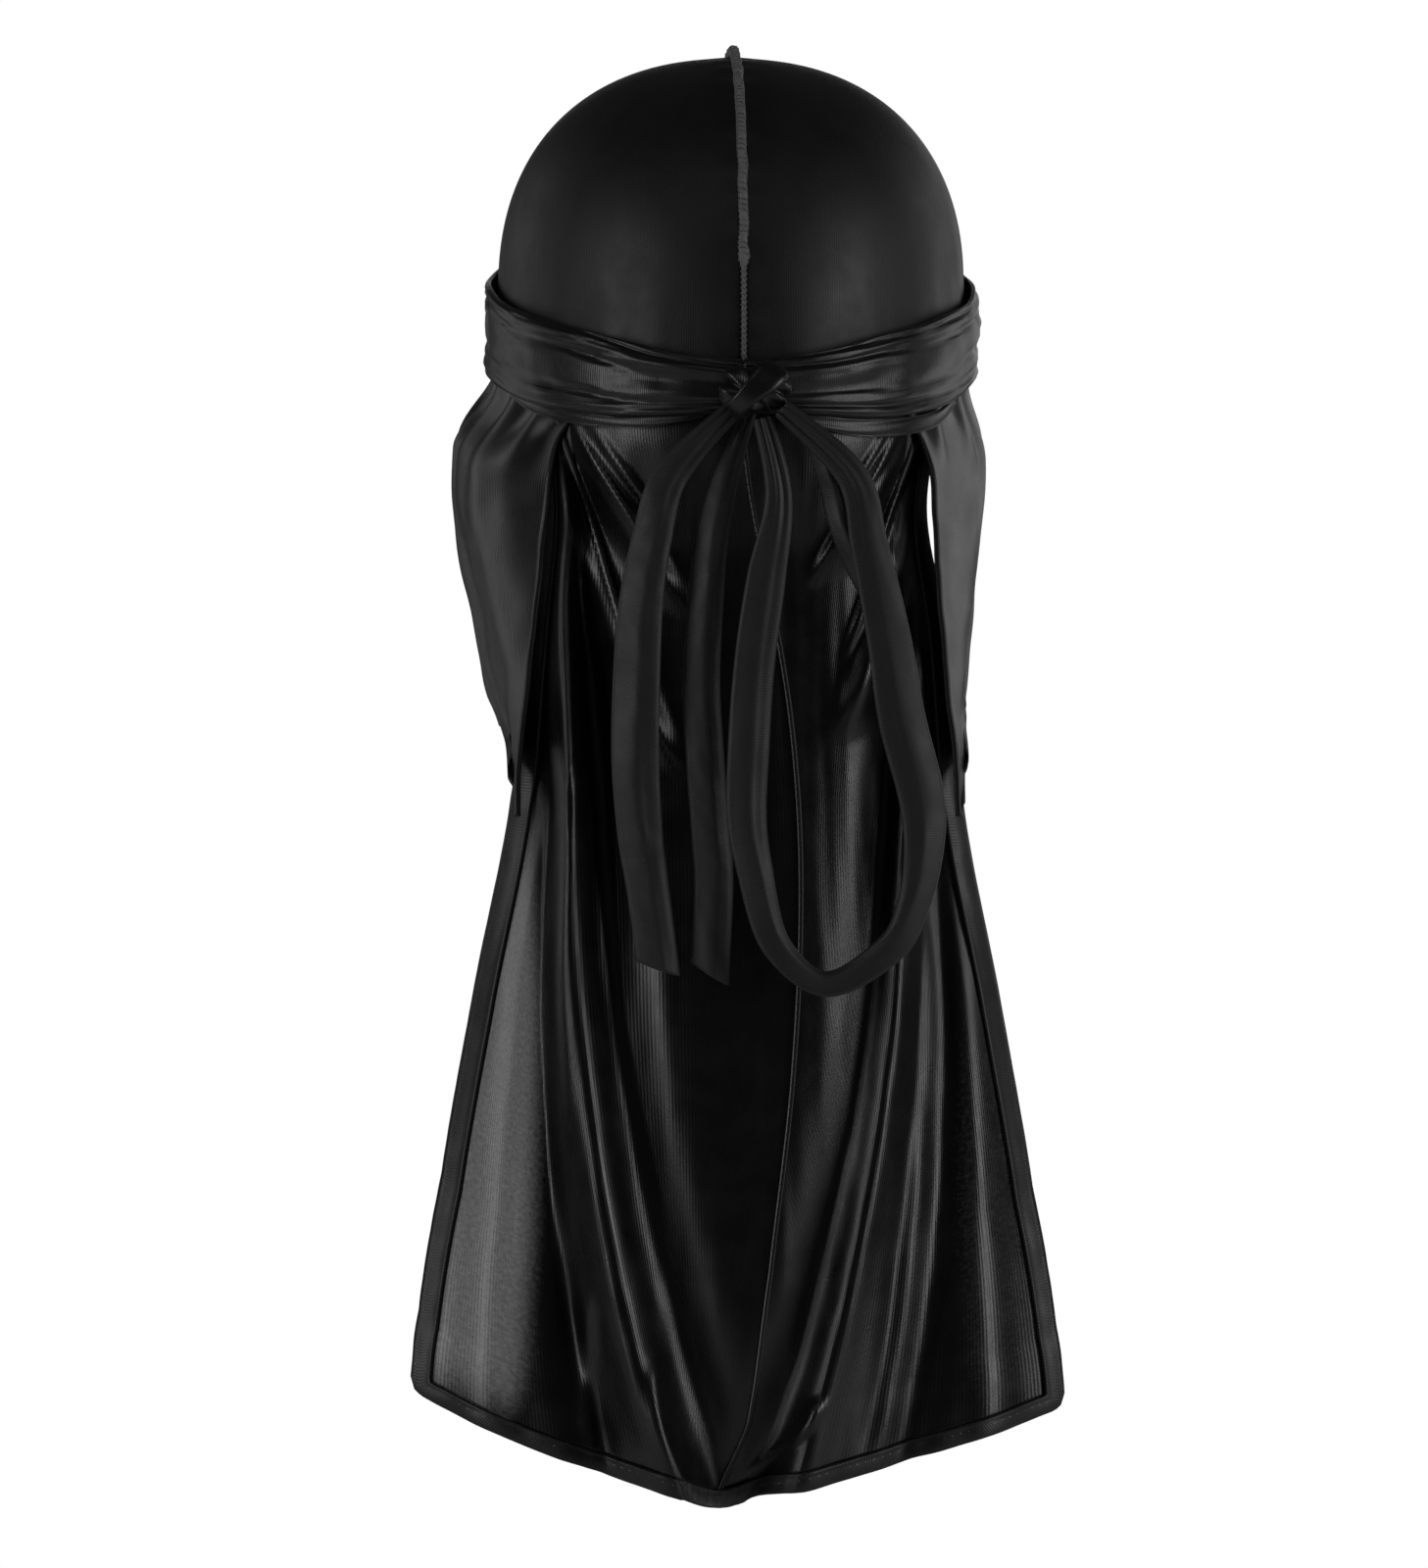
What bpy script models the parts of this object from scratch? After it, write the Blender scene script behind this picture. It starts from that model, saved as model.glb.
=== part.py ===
"""A satin durag as it is worn: a two-panel crown with a raised centre seam, one long
tie wound round the head and tied at the back in a half bow, two slack wings of the
tie's wide roots, and a long flared cape with a centre seam and a turned hem.

+Z is up, +X is the wearer's left and -Y is the forehead. The origin is the inside of
the crown's top, where it sits on the head. Lengths are in metres.
"""

import math
from collections import namedtuple

import bmesh
import bpy
from mathutils import Vector

# The hollow of the crown, which is the head that it fits.
HEAD_WIDTH = 0.1620
HEAD_LENGTH = 0.1980
DOME_DEPTH_SIDES = 0.080
DOME_DEPTH_ENDS = 0.100
DOME_POWER = 2.3

# Cloth, and the clearance between pieces that are sewn or tied together.
CLOTH = 0.0010
GAP = 0.0003

# The raised seam over the crown: overlocked and tall, then a flat stitched end.
SEAM_WIDTH = 0.0026
SEAM_HEIGHT = 0.0038
SEAM_END_WIDTH = 0.0014
SEAM_END_HEIGHT = 0.0010
SEAM_STEP_DEPTH = 0.079

# The tie round the head. Its middle line lies in a plane that falls to the back.
BAND_DROP = 0.0935
BAND_TILT = 0.0260
BAND_HEIGHT = 0.0310
BAND_HEIGHT_AT_KNOT = 0.0185
BAND_THICKNESS = 0.0012
BAND_BULK_AT_KNOT = 0.0022
BAND_PLEAT = 0.0005
BAND_PLEATS = 3.5
BAND_NARROWS_WITHIN = math.radians(28)
BAND_THICKENS_WITHIN = math.radians(45)

# The knot and the straps that hang from it.
KNOT_WIDTH = 0.0270
KNOT_HEIGHT = 0.0215
KNOT_DEPTH = 0.0150
KNOT_OFF_CENTRE = -0.0034
KNOT_CREASE_DEPTH = 0.10
KNOT_CREASE_PLACE = 0.45
KNOT_CREASE_WIDTH = 0.16
KNOT_CREASE_SLANT = math.radians(37)
STRAP_CLEARANCE = 0.0009
BOW_DROP = 0.2040
BOW_REACH = 0.0600
STRAP_WIDTH = 0.0165
STRAP_THICKNESS = 0.0030
STRAP_WIDTH_AT_KNOT = 0.0069

# The wings: how low they hang below the knot and how far they stand out.
WING_DROP = 0.1460
WING_TOP_DROP = 0.0030
WING_FRONT_ANGLE = math.radians(112)
WING_BACK_ANGLE = math.radians(52)
WING_TURN_IN = math.radians(12)
WING_TURN_IN_LEVELS = 0.12
WING_ROW_CROWDING = 1.5

# The cape, measured from the band's line at the back.
CAPE_HALF_ANGLE = math.radians(59)
CAPE_DROP = 0.3825
CAPE_RISE_LEFT = 0.0350
CAPE_RISE_LEFT_POWER = 1.6
CAPE_RISE_RIGHT = 0.0285
CAPE_RISE_RIGHT_POWER = 1.2
CAPE_POINT_DIP = 0.0040
CAPE_HEM_HALF_WIDTH = 0.1122
CAPE_CORNER_ROUND = 0.0045
HEM_WIDTH = 0.0048
HEM_THICKNESS = 0.0014
HEM_GAP = 0.0006
CAPE_SEAM_WIDTH = 0.0018
CAPE_SEAM_HEIGHT = 0.0010
CAPE_POINT_HALF_WIDTH = 0.0110
CAPE_BOW_POWER = 2.4
EDGE_CALM = 0.8
EDGE_CALM_WIDTH = 0.0135
FOLD_HEIGHT = 0.0110
FOLD_RUN_OUT = 0.3
MAIN_FOLD_LIMIT = 0.78
CAPE_LETTING_GO = 0.0460
WING_LETTING_GO = 0.0270

HALF_WIDTH = HEAD_WIDTH / 2
HALF_LENGTH = HEAD_LENGTH / 2
LEFT = 1
RIGHT = -1
OUT_BACK = Vector((0, 1, 0))

# Layers at the band, as distances out from the head.
WING_OFFSET = HEM_THICKNESS + GAP
BAND_OFFSET = WING_OFFSET + CLOTH + 2 * GAP

# A wing's section at a few levels. level is a share of the way from band to tip, and
# the x and y are shares of the head's half width and half length. The left wing
# stands out further, so each side has its own column for that.
WingRow = namedtuple(
    "WingRow", "level back_x back_y left_x right_x side_y front_x front_y"
)
WING_ROWS = (
    WingRow(0.00, 0.755, 0.79, 1.05, 1.03, 0.06, 1.02, -0.36),
    WingRow(0.14, 0.805, 0.77, 1.15, 1.07, 0.06, 1.05, -0.35),
    WingRow(0.26, 0.825, 0.745, 1.195, 1.085, 0.08, 1.065, -0.31),
    WingRow(0.40, 0.845, 0.73, 1.18, 1.07, 0.10, 1.06, -0.23),
    WingRow(0.58, 0.875, 0.71, 1.11, 1.025, 0.18, 1.03, -0.09),
    WingRow(0.76, 0.905, 0.69, 1.04, 0.985, 0.29, 0.995, 0.12),
    WingRow(0.90, 0.930, 0.680, 0.985, 0.970, 0.49, 0.975, 0.38),
    WingRow(1.00, 0.935, 0.680, 0.970, 0.965, 0.63, 0.975, 0.580),
)

# The cape's section at a few levels. spread is a share of the way from the half width
# at the band, where the cape lies round the head, to the hem's. seam is the centre
# seam's place as a share of the half width there, and the depths are shares of the
# head's half length.
CapeRow = namedtuple("CapeRow", "level spread seam side_y middle_y")
CAPE_ROWS = (
    CapeRow(0.00, -0.029, 0.000, 0.545, 1.000),
    CapeRow(0.07, -0.010, -0.016, 0.565, 0.900),
    CapeRow(0.17, 0.029, -0.127, 0.570, 0.830),
    CapeRow(0.30, 0.082, -0.231, 0.555, 0.810),
    CapeRow(0.43, 0.187, -0.261, 0.520, 0.830),
    CapeRow(0.61, 0.475, -0.200, 0.500, 0.870),
    CapeRow(0.80, 0.751, -0.094, 0.515, 0.915),
    CapeRow(0.93, 0.934, -0.021, 0.545, 0.940),
    CapeRow(1.00, 1.000, 0.085, 0.565, 0.950),
)

# The cape's folds. Each runs from (from_x, from_level) to (to_x, to_level), bowed
# sideways in its middle; x is a share of the half width there, positive to the
# wearer's left. height is a share of FOLD_HEIGHT, and a valley is negative.
Fold = namedtuple("Fold", "from_x from_level to_x to_level bow width height")
FOLDS = (
    Fold(0.92, 0.14, 0.17, 1.02, 0.10, 0.085, 0.95),
    Fold(-0.94, 0.20, -0.13, 1.02, -0.03, 0.085, 0.90),
    Fold(0.74, 0.22, 0.02, 1.00, 0.06, 0.120, -0.75),
    Fold(-0.78, 0.26, -0.04, 1.00, -0.08, 0.120, -0.80),
    Fold(0.80, 0.45, 0.42, 1.00, 0.04, 0.080, -0.55),
    Fold(-0.84, 0.48, -0.48, 1.00, -0.04, 0.080, -0.60),
    Fold(0.86, 0.02, 0.42, 0.17, 0.02, 0.090, 0.60),
    Fold(0.90, 0.10, 0.46, 0.30, 0.02, 0.090, 0.70),
    Fold(-0.84, 0.03, -0.52, 0.15, -0.02, 0.090, 0.60),
    Fold(-0.96, 0.08, -0.60, 0.28, -0.02, 0.090, 0.70),
    Fold(0.90, 0.62, 0.78, 1.02, 0.00, 0.090, 0.30),
    Fold(-0.90, 0.62, -0.76, 1.02, 0.00, 0.090, 0.35),
)

# The straps' routes. down is a share of BOW_DROP below the knot's middle, across a
# share of BOW_REACH (positive to the wearer's left), width a share of STRAP_WIDTH, and
# out a share of KNOT_DEPTH from the knot's middle, positive away from the head.
StrapRow = namedtuple("StrapRow", "down across width out")
TAIL_OUTER = (
    StrapRow(0.150, 0.475, 0.72, -0.25),
    StrapRow(0.255, 0.580, 0.82, -0.28),
    StrapRow(0.355, 0.637, 0.92, -0.32),
    StrapRow(0.490, 0.665, 1.00, -0.40),
    StrapRow(0.625, 0.670, 1.00, -0.48),
    StrapRow(0.745, 0.645, 0.94, -0.56),
    StrapRow(0.830, 0.605, 0.88, -0.62),
    StrapRow(0.985, 0.535, 0.84, -0.70),
)
TAIL_INNER = (
    StrapRow(0.155, 0.165, 0.56, -0.45),
    StrapRow(0.250, 0.240, 0.70, -0.48),
    StrapRow(0.355, 0.275, 0.74, -0.52),
    StrapRow(0.490, 0.300, 0.77, -0.60),
    StrapRow(0.625, 0.280, 0.79, -0.66),
    StrapRow(0.745, 0.247, 0.80, -0.74),
    StrapRow(0.830, 0.230, 0.80, -0.80),
    StrapRow(0.995, 0.255, 0.80, -0.86),
)
LOOP = (
    StrapRow(0.185, -0.127, 0.56, 0.20),
    StrapRow(0.320, -0.057, 0.80, 0.16),
    StrapRow(0.455, 0.007, 0.84, 0.08),
    StrapRow(0.590, 0.040, 0.86, 0.00),
    StrapRow(0.710, 0.052, 0.82, -0.06),
    StrapRow(0.800, 0.010, 0.74, -0.10),
    StrapRow(0.930, -0.110, 0.62, -0.12),
    StrapRow(0.996, -0.400, 0.56, -0.10),
    StrapRow(0.935, -0.760, 0.60, -0.06),
    StrapRow(0.860, -0.890, 0.70, -0.04),
    StrapRow(0.765, -0.945, 0.86, -0.02),
    StrapRow(0.680, -0.930, 0.98, 0.02),
    StrapRow(0.550, -0.820, 1.00, 0.08),
    StrapRow(0.415, -0.715, 0.98, 0.16),
    StrapRow(0.265, -0.570, 0.90, 0.26),
    StrapRow(0.150, -0.450, 0.78, 0.30),
)

# Below 1, a flat piece's section is fuller than an ellipse. The pleats start where
# the section has turned this far out from the band's edges.
SECTION_FULLNESS = 0.6
PLEATS_START = 0.1

# How finely each piece is faceted.
CROWN_COLUMNS = 34
CROWN_RINGS = 14
CROWN_LINE_POINTS = 120
CROWN_SEAM_STEPS = 46
CROWN_SEAM_RING = 8
CAPE_SEAM_RING = 6
LOOP_STEPS = 38
TAIL_STEPS = 15
BAND_COLUMNS = 54
BAND_RING = 16
WING_COLUMNS = 13
WING_LEVELS = 14
CAPE_COLUMNS = 18
CAPE_LEVELS = 22
STRAP_RING = 8
KNOT_COLUMNS = 18
KNOT_RINGS = 11

# Steps along a curve, as shares of it, for reading its direction.
STRAP_READING_STEP = 0.002
CAPE_READING_STEP = 0.02


def clear_scene():
    for old in list(bpy.data.objects):
        bpy.data.objects.remove(old, do_unlink=True)


def new_collection(name):
    made = bpy.data.collections.new(name)
    bpy.context.scene.collection.children.link(made)
    return made


def cloth_material(name, colour, roughness):
    """A dull black woven satin."""
    made = bpy.data.materials.new(name)
    made.use_nodes = True
    shader = made.node_tree.nodes["Principled BSDF"]
    shader.inputs["Base Color"].default_value = (*colour, 1)
    shader.inputs["Roughness"].default_value = roughness
    shader.inputs["Metallic"].default_value = 0
    return made


def between(low, high, share):
    return low + (high - low) * share


def eased(share):
    """0 to 1 with a level start and end."""
    share = min(1, max(0, share))
    return share * share * (3 - 2 * share)


def hump(distance, width):
    return math.exp(-((distance / width) ** 2))


def from_rows(rows, column, key):
    """A smooth reading of one column at a place along the first column."""
    last = len(rows) - 2
    at = 0
    while at < last and key > rows[at + 1][0]:
        at += 1
    near = [getattr(rows[min(max(at + k, 0), last + 1)], column) for k in (-1, 0, 1, 2)]
    share = (key - rows[at][0]) / (rows[at + 1][0] - rows[at][0])
    share = min(1, max(0, share))
    return smooth_step_through(near, share)


def smooth_step_through(near, share):
    """A curve through the two middle values of four."""
    before, start, end, after = near
    return start + share * 0.5 * (
        (end - before)
        + share * (2 * before - 5 * start + 4 * end - after)
        + share * share * (3 * (start - end) + after - before)
    )


def swell(share):
    """The dome's spread, from 0 at its top to 1 where its wall is upright."""
    if share >= 1:
        return 1
    return (1 - (1 - share) ** DOME_POWER) ** (1 / DOME_POWER)


def head_point(angle, height, offset):
    """A point round the head. angle is 0 at the back and grows to the wearer's left."""
    depth = max(0, -height)
    across = HALF_WIDTH * swell(depth / DOME_DEPTH_SIDES) + offset
    along = HALF_LENGTH * swell(depth / DOME_DEPTH_ENDS) + offset
    return Vector((across * math.sin(angle), along * math.cos(angle), height))


def band_line(angle):
    """The height of the tie's middle line, which is also the crown's lower edge."""
    return -BAND_DROP - BAND_TILT * math.cos(angle)


def band_height(angle):
    turned = math.atan2(math.sin(angle), math.cos(angle))
    return between(BAND_HEIGHT, BAND_HEIGHT_AT_KNOT, hump(turned, BAND_NARROWS_WITHIN))


def mapped_grid(name, columns, rows, place, material, holder, wall=0, cap_ends=False):
    """A grid whose corners are put where place(across, down) says. It becomes a wall
    of cloth by Solidify, or a closed body where its own sides meet."""
    net = bmesh.new()
    bmesh.ops.create_grid(net, x_segments=columns, y_segments=rows, size=0.5)
    for corner in net.verts:
        corner.co = place(corner.co.x + 0.5, corner.co.y + 0.5)
    bmesh.ops.remove_doubles(net, verts=net.verts, dist=0.00001)
    if cap_ends:
        bmesh.ops.holes_fill(net, edges=net.edges)
    if not wall:
        bmesh.ops.recalc_face_normals(net, faces=net.faces)
    return finish_mesh(net, name, material, holder, wall)


def finish_mesh(net, name, material, holder, wall):
    shape = bpy.data.meshes.new(name)
    net.to_mesh(shape)
    net.free()
    shape.shade_smooth()
    shape.materials.append(material)
    made = bpy.data.objects.new(name, shape)
    holder.objects.link(made)
    if wall:
        thicken = made.modifiers.new("cloth", "SOLIDIFY")
        thicken.thickness = wall
        thicken.offset = 1
        thicken.use_even_offset = True
    return made


def make_crown_panel(side, material, holder):
    """One half of the crown: a dome cut at the centre seam and along the band's line."""
    net = bmesh.new()
    bmesh.ops.create_uvsphere(net, u_segments=CROWN_COLUMNS, v_segments=CROWN_RINGS, radius=1)
    lowest = BAND_DROP + BAND_TILT + BAND_HEIGHT
    foot = [corner for corner in net.verts if corner.co.z < -0.9999]
    for corner in net.verts:
        round_share = math.acos(max(-1, min(1, corner.co.z))) / math.pi
        angle = math.atan2(corner.co.x, corner.co.y)
        corner.co = head_point(angle, -lowest * round_share**2, 0)
    bmesh.ops.delete(net, geom=foot, context="VERTS")
    slope = Vector((0, BAND_TILT / HALF_LENGTH, 1))
    cut_away(net, Vector((0, 0, -BAND_DROP)), -slope)
    cut_away(net, Vector((side * GAP / 2, 0, 0)), Vector((-side, 0, 0)))
    bmesh.ops.recalc_face_normals(net, faces=net.faces)
    name = "crown_left" if side == LEFT else "crown_right"
    return finish_mesh(net, name, material, holder, CLOTH)


def cut_away(net, point, towards):
    """Cuts the mesh at a plane and drops what lies on the side it faces."""
    geometry = [*net.verts, *net.edges, *net.faces]
    bmesh.ops.bisect_plane(
        net, geom=geometry, plane_co=point, plane_no=towards, clear_outer=True, dist=0.00001
    )


def crown_ridge_line(count):
    """Evenly spaced (point, outward) pairs over the head's middle, forehead to back."""
    front_end = band_line(math.pi) + BAND_HEIGHT / 2 + GAP
    back_end = band_line(0) + BAND_HEIGHT_AT_KNOT / 2 + GAP
    fine = []
    for step in range(CROWN_LINE_POINTS + 1):
        share = 2 * step / CROWN_LINE_POINTS - 1
        end, angle = (back_end, 0) if share > 0 else (front_end, math.pi)
        fine.append(head_point(angle, end * share**2, 0))
    return spaced(fine, count)


def spaced(fine, count):
    """count evenly spaced points of a polyline, with the direction at each."""
    lengths = [0]
    for start, end in zip(fine, fine[1:]):
        lengths.append(lengths[-1] + (end - start).length)
    found = []
    at = 0
    for step in range(count + 1):
        want = lengths[-1] * step / count
        while at < len(fine) - 2 and lengths[at + 1] < want:
            at += 1
        share = (want - lengths[at]) / (lengths[at + 1] - lengths[at])
        direction = (fine[min(at + 2, len(fine) - 1)] - fine[max(at - 1, 0)]).normalized()
        found.append((fine[at].lerp(fine[at + 1], share), direction))
    return found


def make_crown_seam(material, holder):
    """The overlocked ridge over the two panels' join, and its flat end above the knot."""
    line = crown_ridge_line(CROWN_SEAM_STEPS)

    def place(along, around):
        point, direction = line[round(along * CROWN_SEAM_STEPS)]
        outward = Vector((0, -direction.z, direction.y))
        turn = 2 * math.pi * around
        ended = point.y > 0 and point.z < -SEAM_STEP_DEPTH
        width = SEAM_END_WIDTH if ended else SEAM_WIDTH
        height = SEAM_END_HEIGHT if ended else SEAM_HEIGHT
        lift = CLOTH + GAP + height / 2 * (1 - squared_cosine(turn))
        return point + outward * lift + Vector((width / 2 * squared_cosine(turn - math.pi / 2), 0, 0))

    return mapped_grid(
        "crown_seam", CROWN_SEAM_STEPS, CROWN_SEAM_RING, place, material, holder, cap_ends=True
    )


def squared_cosine(turn):
    """A cosine with fuller shoulders, for a section between round and square."""
    value = math.cos(turn)
    return math.copysign(abs(value) ** SECTION_FULLNESS, value)


def make_tie_band(material, holder):
    """The wound part of the tie: flat inside, with lengthwise pleats outside."""

    def place(along, around):
        angle = 2 * math.pi * along
        turned = math.atan2(math.sin(angle), math.cos(angle))
        turn = 2 * math.pi * around
        bulk = BAND_THICKNESS + BAND_BULK_AT_KNOT * hump(turned, BAND_THICKENS_WITHIN)
        up = band_height(angle) / 2 * squared_cosine(turn)
        out = bulk / 2 * (1 + squared_cosine(turn - math.pi / 2))
        if math.sin(turn) > PLEATS_START:
            out += BAND_PLEAT * math.cos(BAND_PLEATS * 2 * turn) * math.sin(turn)
        point = head_point(angle, band_line(angle), BAND_OFFSET + out)
        return point + Vector((0, 0, up))

    return mapped_grid("tie_band", BAND_COLUMNS, BAND_RING, place, material, holder)


def knot_middle():
    reach = BAND_OFFSET + BAND_THICKNESS + BAND_BULK_AT_KNOT + BAND_PLEAT + GAP
    return Vector((KNOT_OFF_CENTRE, HALF_LENGTH + reach + KNOT_DEPTH / 2, band_line(0)))


def make_knot(material, holder):
    """A plump wrap of cloth with a slanting crease on each side of its middle strand."""
    net = bmesh.new()
    bmesh.ops.create_uvsphere(net, u_segments=KNOT_COLUMNS, v_segments=KNOT_RINGS, radius=1)
    middle = knot_middle()
    for corner in net.verts:
        slant = corner.co.x * math.cos(KNOT_CREASE_SLANT) - corner.co.z * math.sin(KNOT_CREASE_SLANT)
        pinch = 1
        for place in (-KNOT_CREASE_PLACE, KNOT_CREASE_PLACE):
            pinch -= KNOT_CREASE_DEPTH * hump(slant - place, KNOT_CREASE_WIDTH)
        corner.co = middle + Vector(
            (
                corner.co.x * KNOT_WIDTH / 2 * pinch,
                corner.co.y * KNOT_DEPTH / 2 * pinch,
                corner.co.z * KNOT_HEIGHT / 2 * pinch,
            )
        )
    bmesh.ops.recalc_face_normals(net, faces=net.faces)
    return finish_mesh(net, "tie_knot", material, holder, 0)


def knot_exit(towards, out_share):
    """Where a strap leaves the knot, just clear of it, on its way to a point."""
    middle = knot_middle()
    slope = math.atan2(towards.z - middle.z, towards.x - middle.x)
    near_side = max(0, abs(out_share) - STRAP_THICKNESS / 2 / KNOT_DEPTH)
    shrink = math.sqrt(1 - (2 * near_side) ** 2)
    radius = 1 / math.hypot(
        math.cos(slope) / (KNOT_WIDTH / 2 * shrink), math.sin(slope) / (KNOT_HEIGHT / 2 * shrink)
    )
    radius += STRAP_CLEARANCE
    return Vector(
        (
            middle.x + radius * math.cos(slope),
            middle.y + out_share * KNOT_DEPTH,
            middle.z + radius * math.sin(slope),
        )
    )


def strap_route(rows, both_ends):
    """Points and widths of a strap from the knot, and back to it for a loop."""
    middle = knot_middle()
    points = [
        middle + Vector((row.across * BOW_REACH, row.out * KNOT_DEPTH, -row.down * BOW_DROP))
        for row in rows
    ]
    widths = [row.width * STRAP_WIDTH for row in rows]
    points.insert(0, knot_exit(points[0], rows[0].out))
    widths.insert(0, STRAP_WIDTH_AT_KNOT)
    if both_ends:
        points.append(knot_exit(points[-1], rows[-1].out))
        widths.append(STRAP_WIDTH_AT_KNOT)
    return points, widths


def make_strap(name, rows, stations, material, holder, both_ends=False):
    """A folded strap with a lens-shaped section, its broad face to the back."""
    points, widths = strap_route(rows, both_ends)
    last = len(points) - 1

    def at(values, share):
        start = min(int(share * last), last - 1)
        near = [values[min(max(start + k, 0), last)] for k in (-1, 0, 1, 2)]
        return smooth_step_through(near, share * last - start)

    def place(along, around):
        ahead = at(points, min(1, along + STRAP_READING_STEP))
        ahead -= at(points, max(0, along - STRAP_READING_STEP))
        across = ahead.cross(OUT_BACK).normalized()
        turn = 2 * math.pi * around
        lens = across * (at(widths, along) / 2 * math.cos(turn))
        return at(points, along) + lens + OUT_BACK * (STRAP_THICKNESS / 2 * math.sin(turn))

    return mapped_grid(name, stations, STRAP_RING, place, material, holder, cap_ends=True)


def wing_section(side, level):
    """The back edge, the side and the front edge of a wing at one level."""
    bulge = "left_x" if side == LEFT else "right_x"
    columns = (("back_x", "back_y"), (bulge, "side_y"), ("front_x", "front_y"))
    return [
        Vector(
            (
                side * HALF_WIDTH * from_rows(WING_ROWS, across, level),
                HALF_LENGTH * from_rows(WING_ROWS, along, level),
                0,
            )
        )
        for across, along in columns
    ]


def wing_point(side, share, level):
    """share runs from the wing's back edge to its front edge, level from band to tip."""
    back_angle = WING_BACK_ANGLE - WING_TURN_IN * hump(level, WING_TURN_IN_LEVELS)
    angle = between(back_angle, WING_FRONT_ANGLE, share)
    top = band_line(angle) - WING_TOP_DROP
    tip = band_line(0) - WING_DROP
    height = between(top, tip, level)
    held = head_point(side * angle, height, WING_OFFSET)
    back, out, front = wing_section(side, level)
    bend = out * 2 - (back + front) / 2
    hung = back * (1 - share) ** 2 + bend * 2 * share * (1 - share) + front * share**2
    hung.z = height
    below_band = top + WING_TOP_DROP - band_height(angle) / 2 - height
    return held.lerp(hung, eased(below_band / WING_LETTING_GO))


def make_wing(side, material, holder):
    """The slack lower part of the tie's wide root, hanging beside the neck."""

    def place(across, down):
        share = across if side == LEFT else 1 - across
        return wing_point(side, share, down**WING_ROW_CROWDING)

    name = "tie_wing_left" if side == LEFT else "tie_wing_right"
    return mapped_grid(name, WING_COLUMNS, WING_LEVELS, place, material, holder, wall=CLOTH)


def fold_line(fold, level):
    """How far along a fold a level is, and where across the cape the fold lies there."""
    run = (level - fold.from_level) / (fold.to_level - fold.from_level)
    return run, between(fold.from_x, fold.to_x, run) + fold.bow * 4 * run * (1 - run)


def fold_depth(across, level):
    """How far the folds move the cape out from its plain section."""
    total = 0
    for fold in FOLDS:
        run, line = fold_line(fold, level)
        past_start = (run + FOLD_RUN_OUT) / FOLD_RUN_OUT
        past_end = (1 + FOLD_RUN_OUT - run) / FOLD_RUN_OUT
        fade = eased(past_start) * eased(past_end)
        total += fold.height * fade * hump(across - line, fold.width)
    return FOLD_HEIGHT * total


def cape_half_width(level):
    """Half the cape's width at a level, from its place round the head to the hem's."""
    top = HALF_WIDTH * math.sin(CAPE_HALF_ANGLE)
    return between(top, CAPE_HEM_HALF_WIDTH, from_rows(CAPE_ROWS, "spread", level))


def cape_seam_across(level):
    """Where the centre seam runs at a level, as a share of the half width."""
    return from_rows(CAPE_ROWS, "seam", level)


def hem_height(across):
    """The hem's height: lowest at the seam's point, risen and rounded at the corners."""
    if across > 0:
        rise = CAPE_RISE_LEFT * across**CAPE_RISE_LEFT_POWER
    else:
        rise = CAPE_RISE_RIGHT * (-across) ** CAPE_RISE_RIGHT_POWER
    from_seam = (across - cape_seam_across(1)) * CAPE_HEM_HALF_WIDTH
    point = CAPE_POINT_DIP * hump(from_seam, CAPE_POINT_HALF_WIDTH)
    start = 1 - CAPE_CORNER_ROUND / CAPE_HEM_HALF_WIDTH
    past = max(0, (abs(across) - start) / (1 - start))
    corner = CAPE_CORNER_ROUND * (1 - math.sqrt(max(0, 1 - past**2)))
    return band_line(0) - CAPE_DROP + CAPE_POINT_DIP + rise - point + corner


def cape_point(across, level):
    """across is -1 at the right hem and 1 at the left one, level 0 at the band."""
    angle = across * CAPE_HALF_ANGLE
    top = band_line(angle) - GAP
    height = between(top, hem_height(across), level)
    held = head_point(angle, height, 0)
    side = HALF_LENGTH * from_rows(CAPE_ROWS, "side_y", level)
    middle = HALF_LENGTH * from_rows(CAPE_ROWS, "middle_y", level)
    plain = between(side, middle, 1 - abs(across) ** CAPE_BOW_POWER)
    from_edge = (1 - abs(across)) * CAPE_HEM_HALF_WIDTH
    edge_calm = 1 - EDGE_CALM * hump(from_edge, EDGE_CALM_WIDTH)
    out = plain + fold_depth(across, level) * edge_calm
    hung = Vector((cape_half_width(level) * across, out, height))
    below_band = top - band_height(angle) / 2 - height
    return held.lerp(hung, eased(below_band / CAPE_LETTING_GO))


def side_share(length, level):
    """A length across the cape, as a share of its half width at a level."""
    return length / cape_half_width(level)


def cape_column(side, share, level, inner, outer):
    """A place across one panel, on threads that run along that panel's main fold."""
    fold = FOLDS[0] if side == LEFT else FOLDS[1]
    ridge = min(MAIN_FOLD_LIMIT, abs(fold_line(fold, max(level, fold.from_level))[1]))
    if share < 0.5:
        return between(inner, side * ridge, 2 * share)
    return between(side * ridge, outer, 2 * share - 1)


def make_cape_panel(side, material, holder):
    """One half of the cape, from the centre seam to the hem strip."""
    last_level = 1 - (HEM_WIDTH + HEM_GAP) / CAPE_DROP

    def place(across, down):
        level = down * last_level
        inner = cape_seam_across(level) + side * side_share(GAP / 2, level)
        outer = side * (1 - side_share(HEM_WIDTH + HEM_GAP, level))
        share = across if side == LEFT else 1 - across
        return cape_point(cape_column(side, share, level, inner, outer), level)

    name = "cape_left" if side == LEFT else "cape_right"
    return mapped_grid(name, CAPE_COLUMNS, CAPE_LEVELS, place, material, holder, wall=CLOTH)


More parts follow.
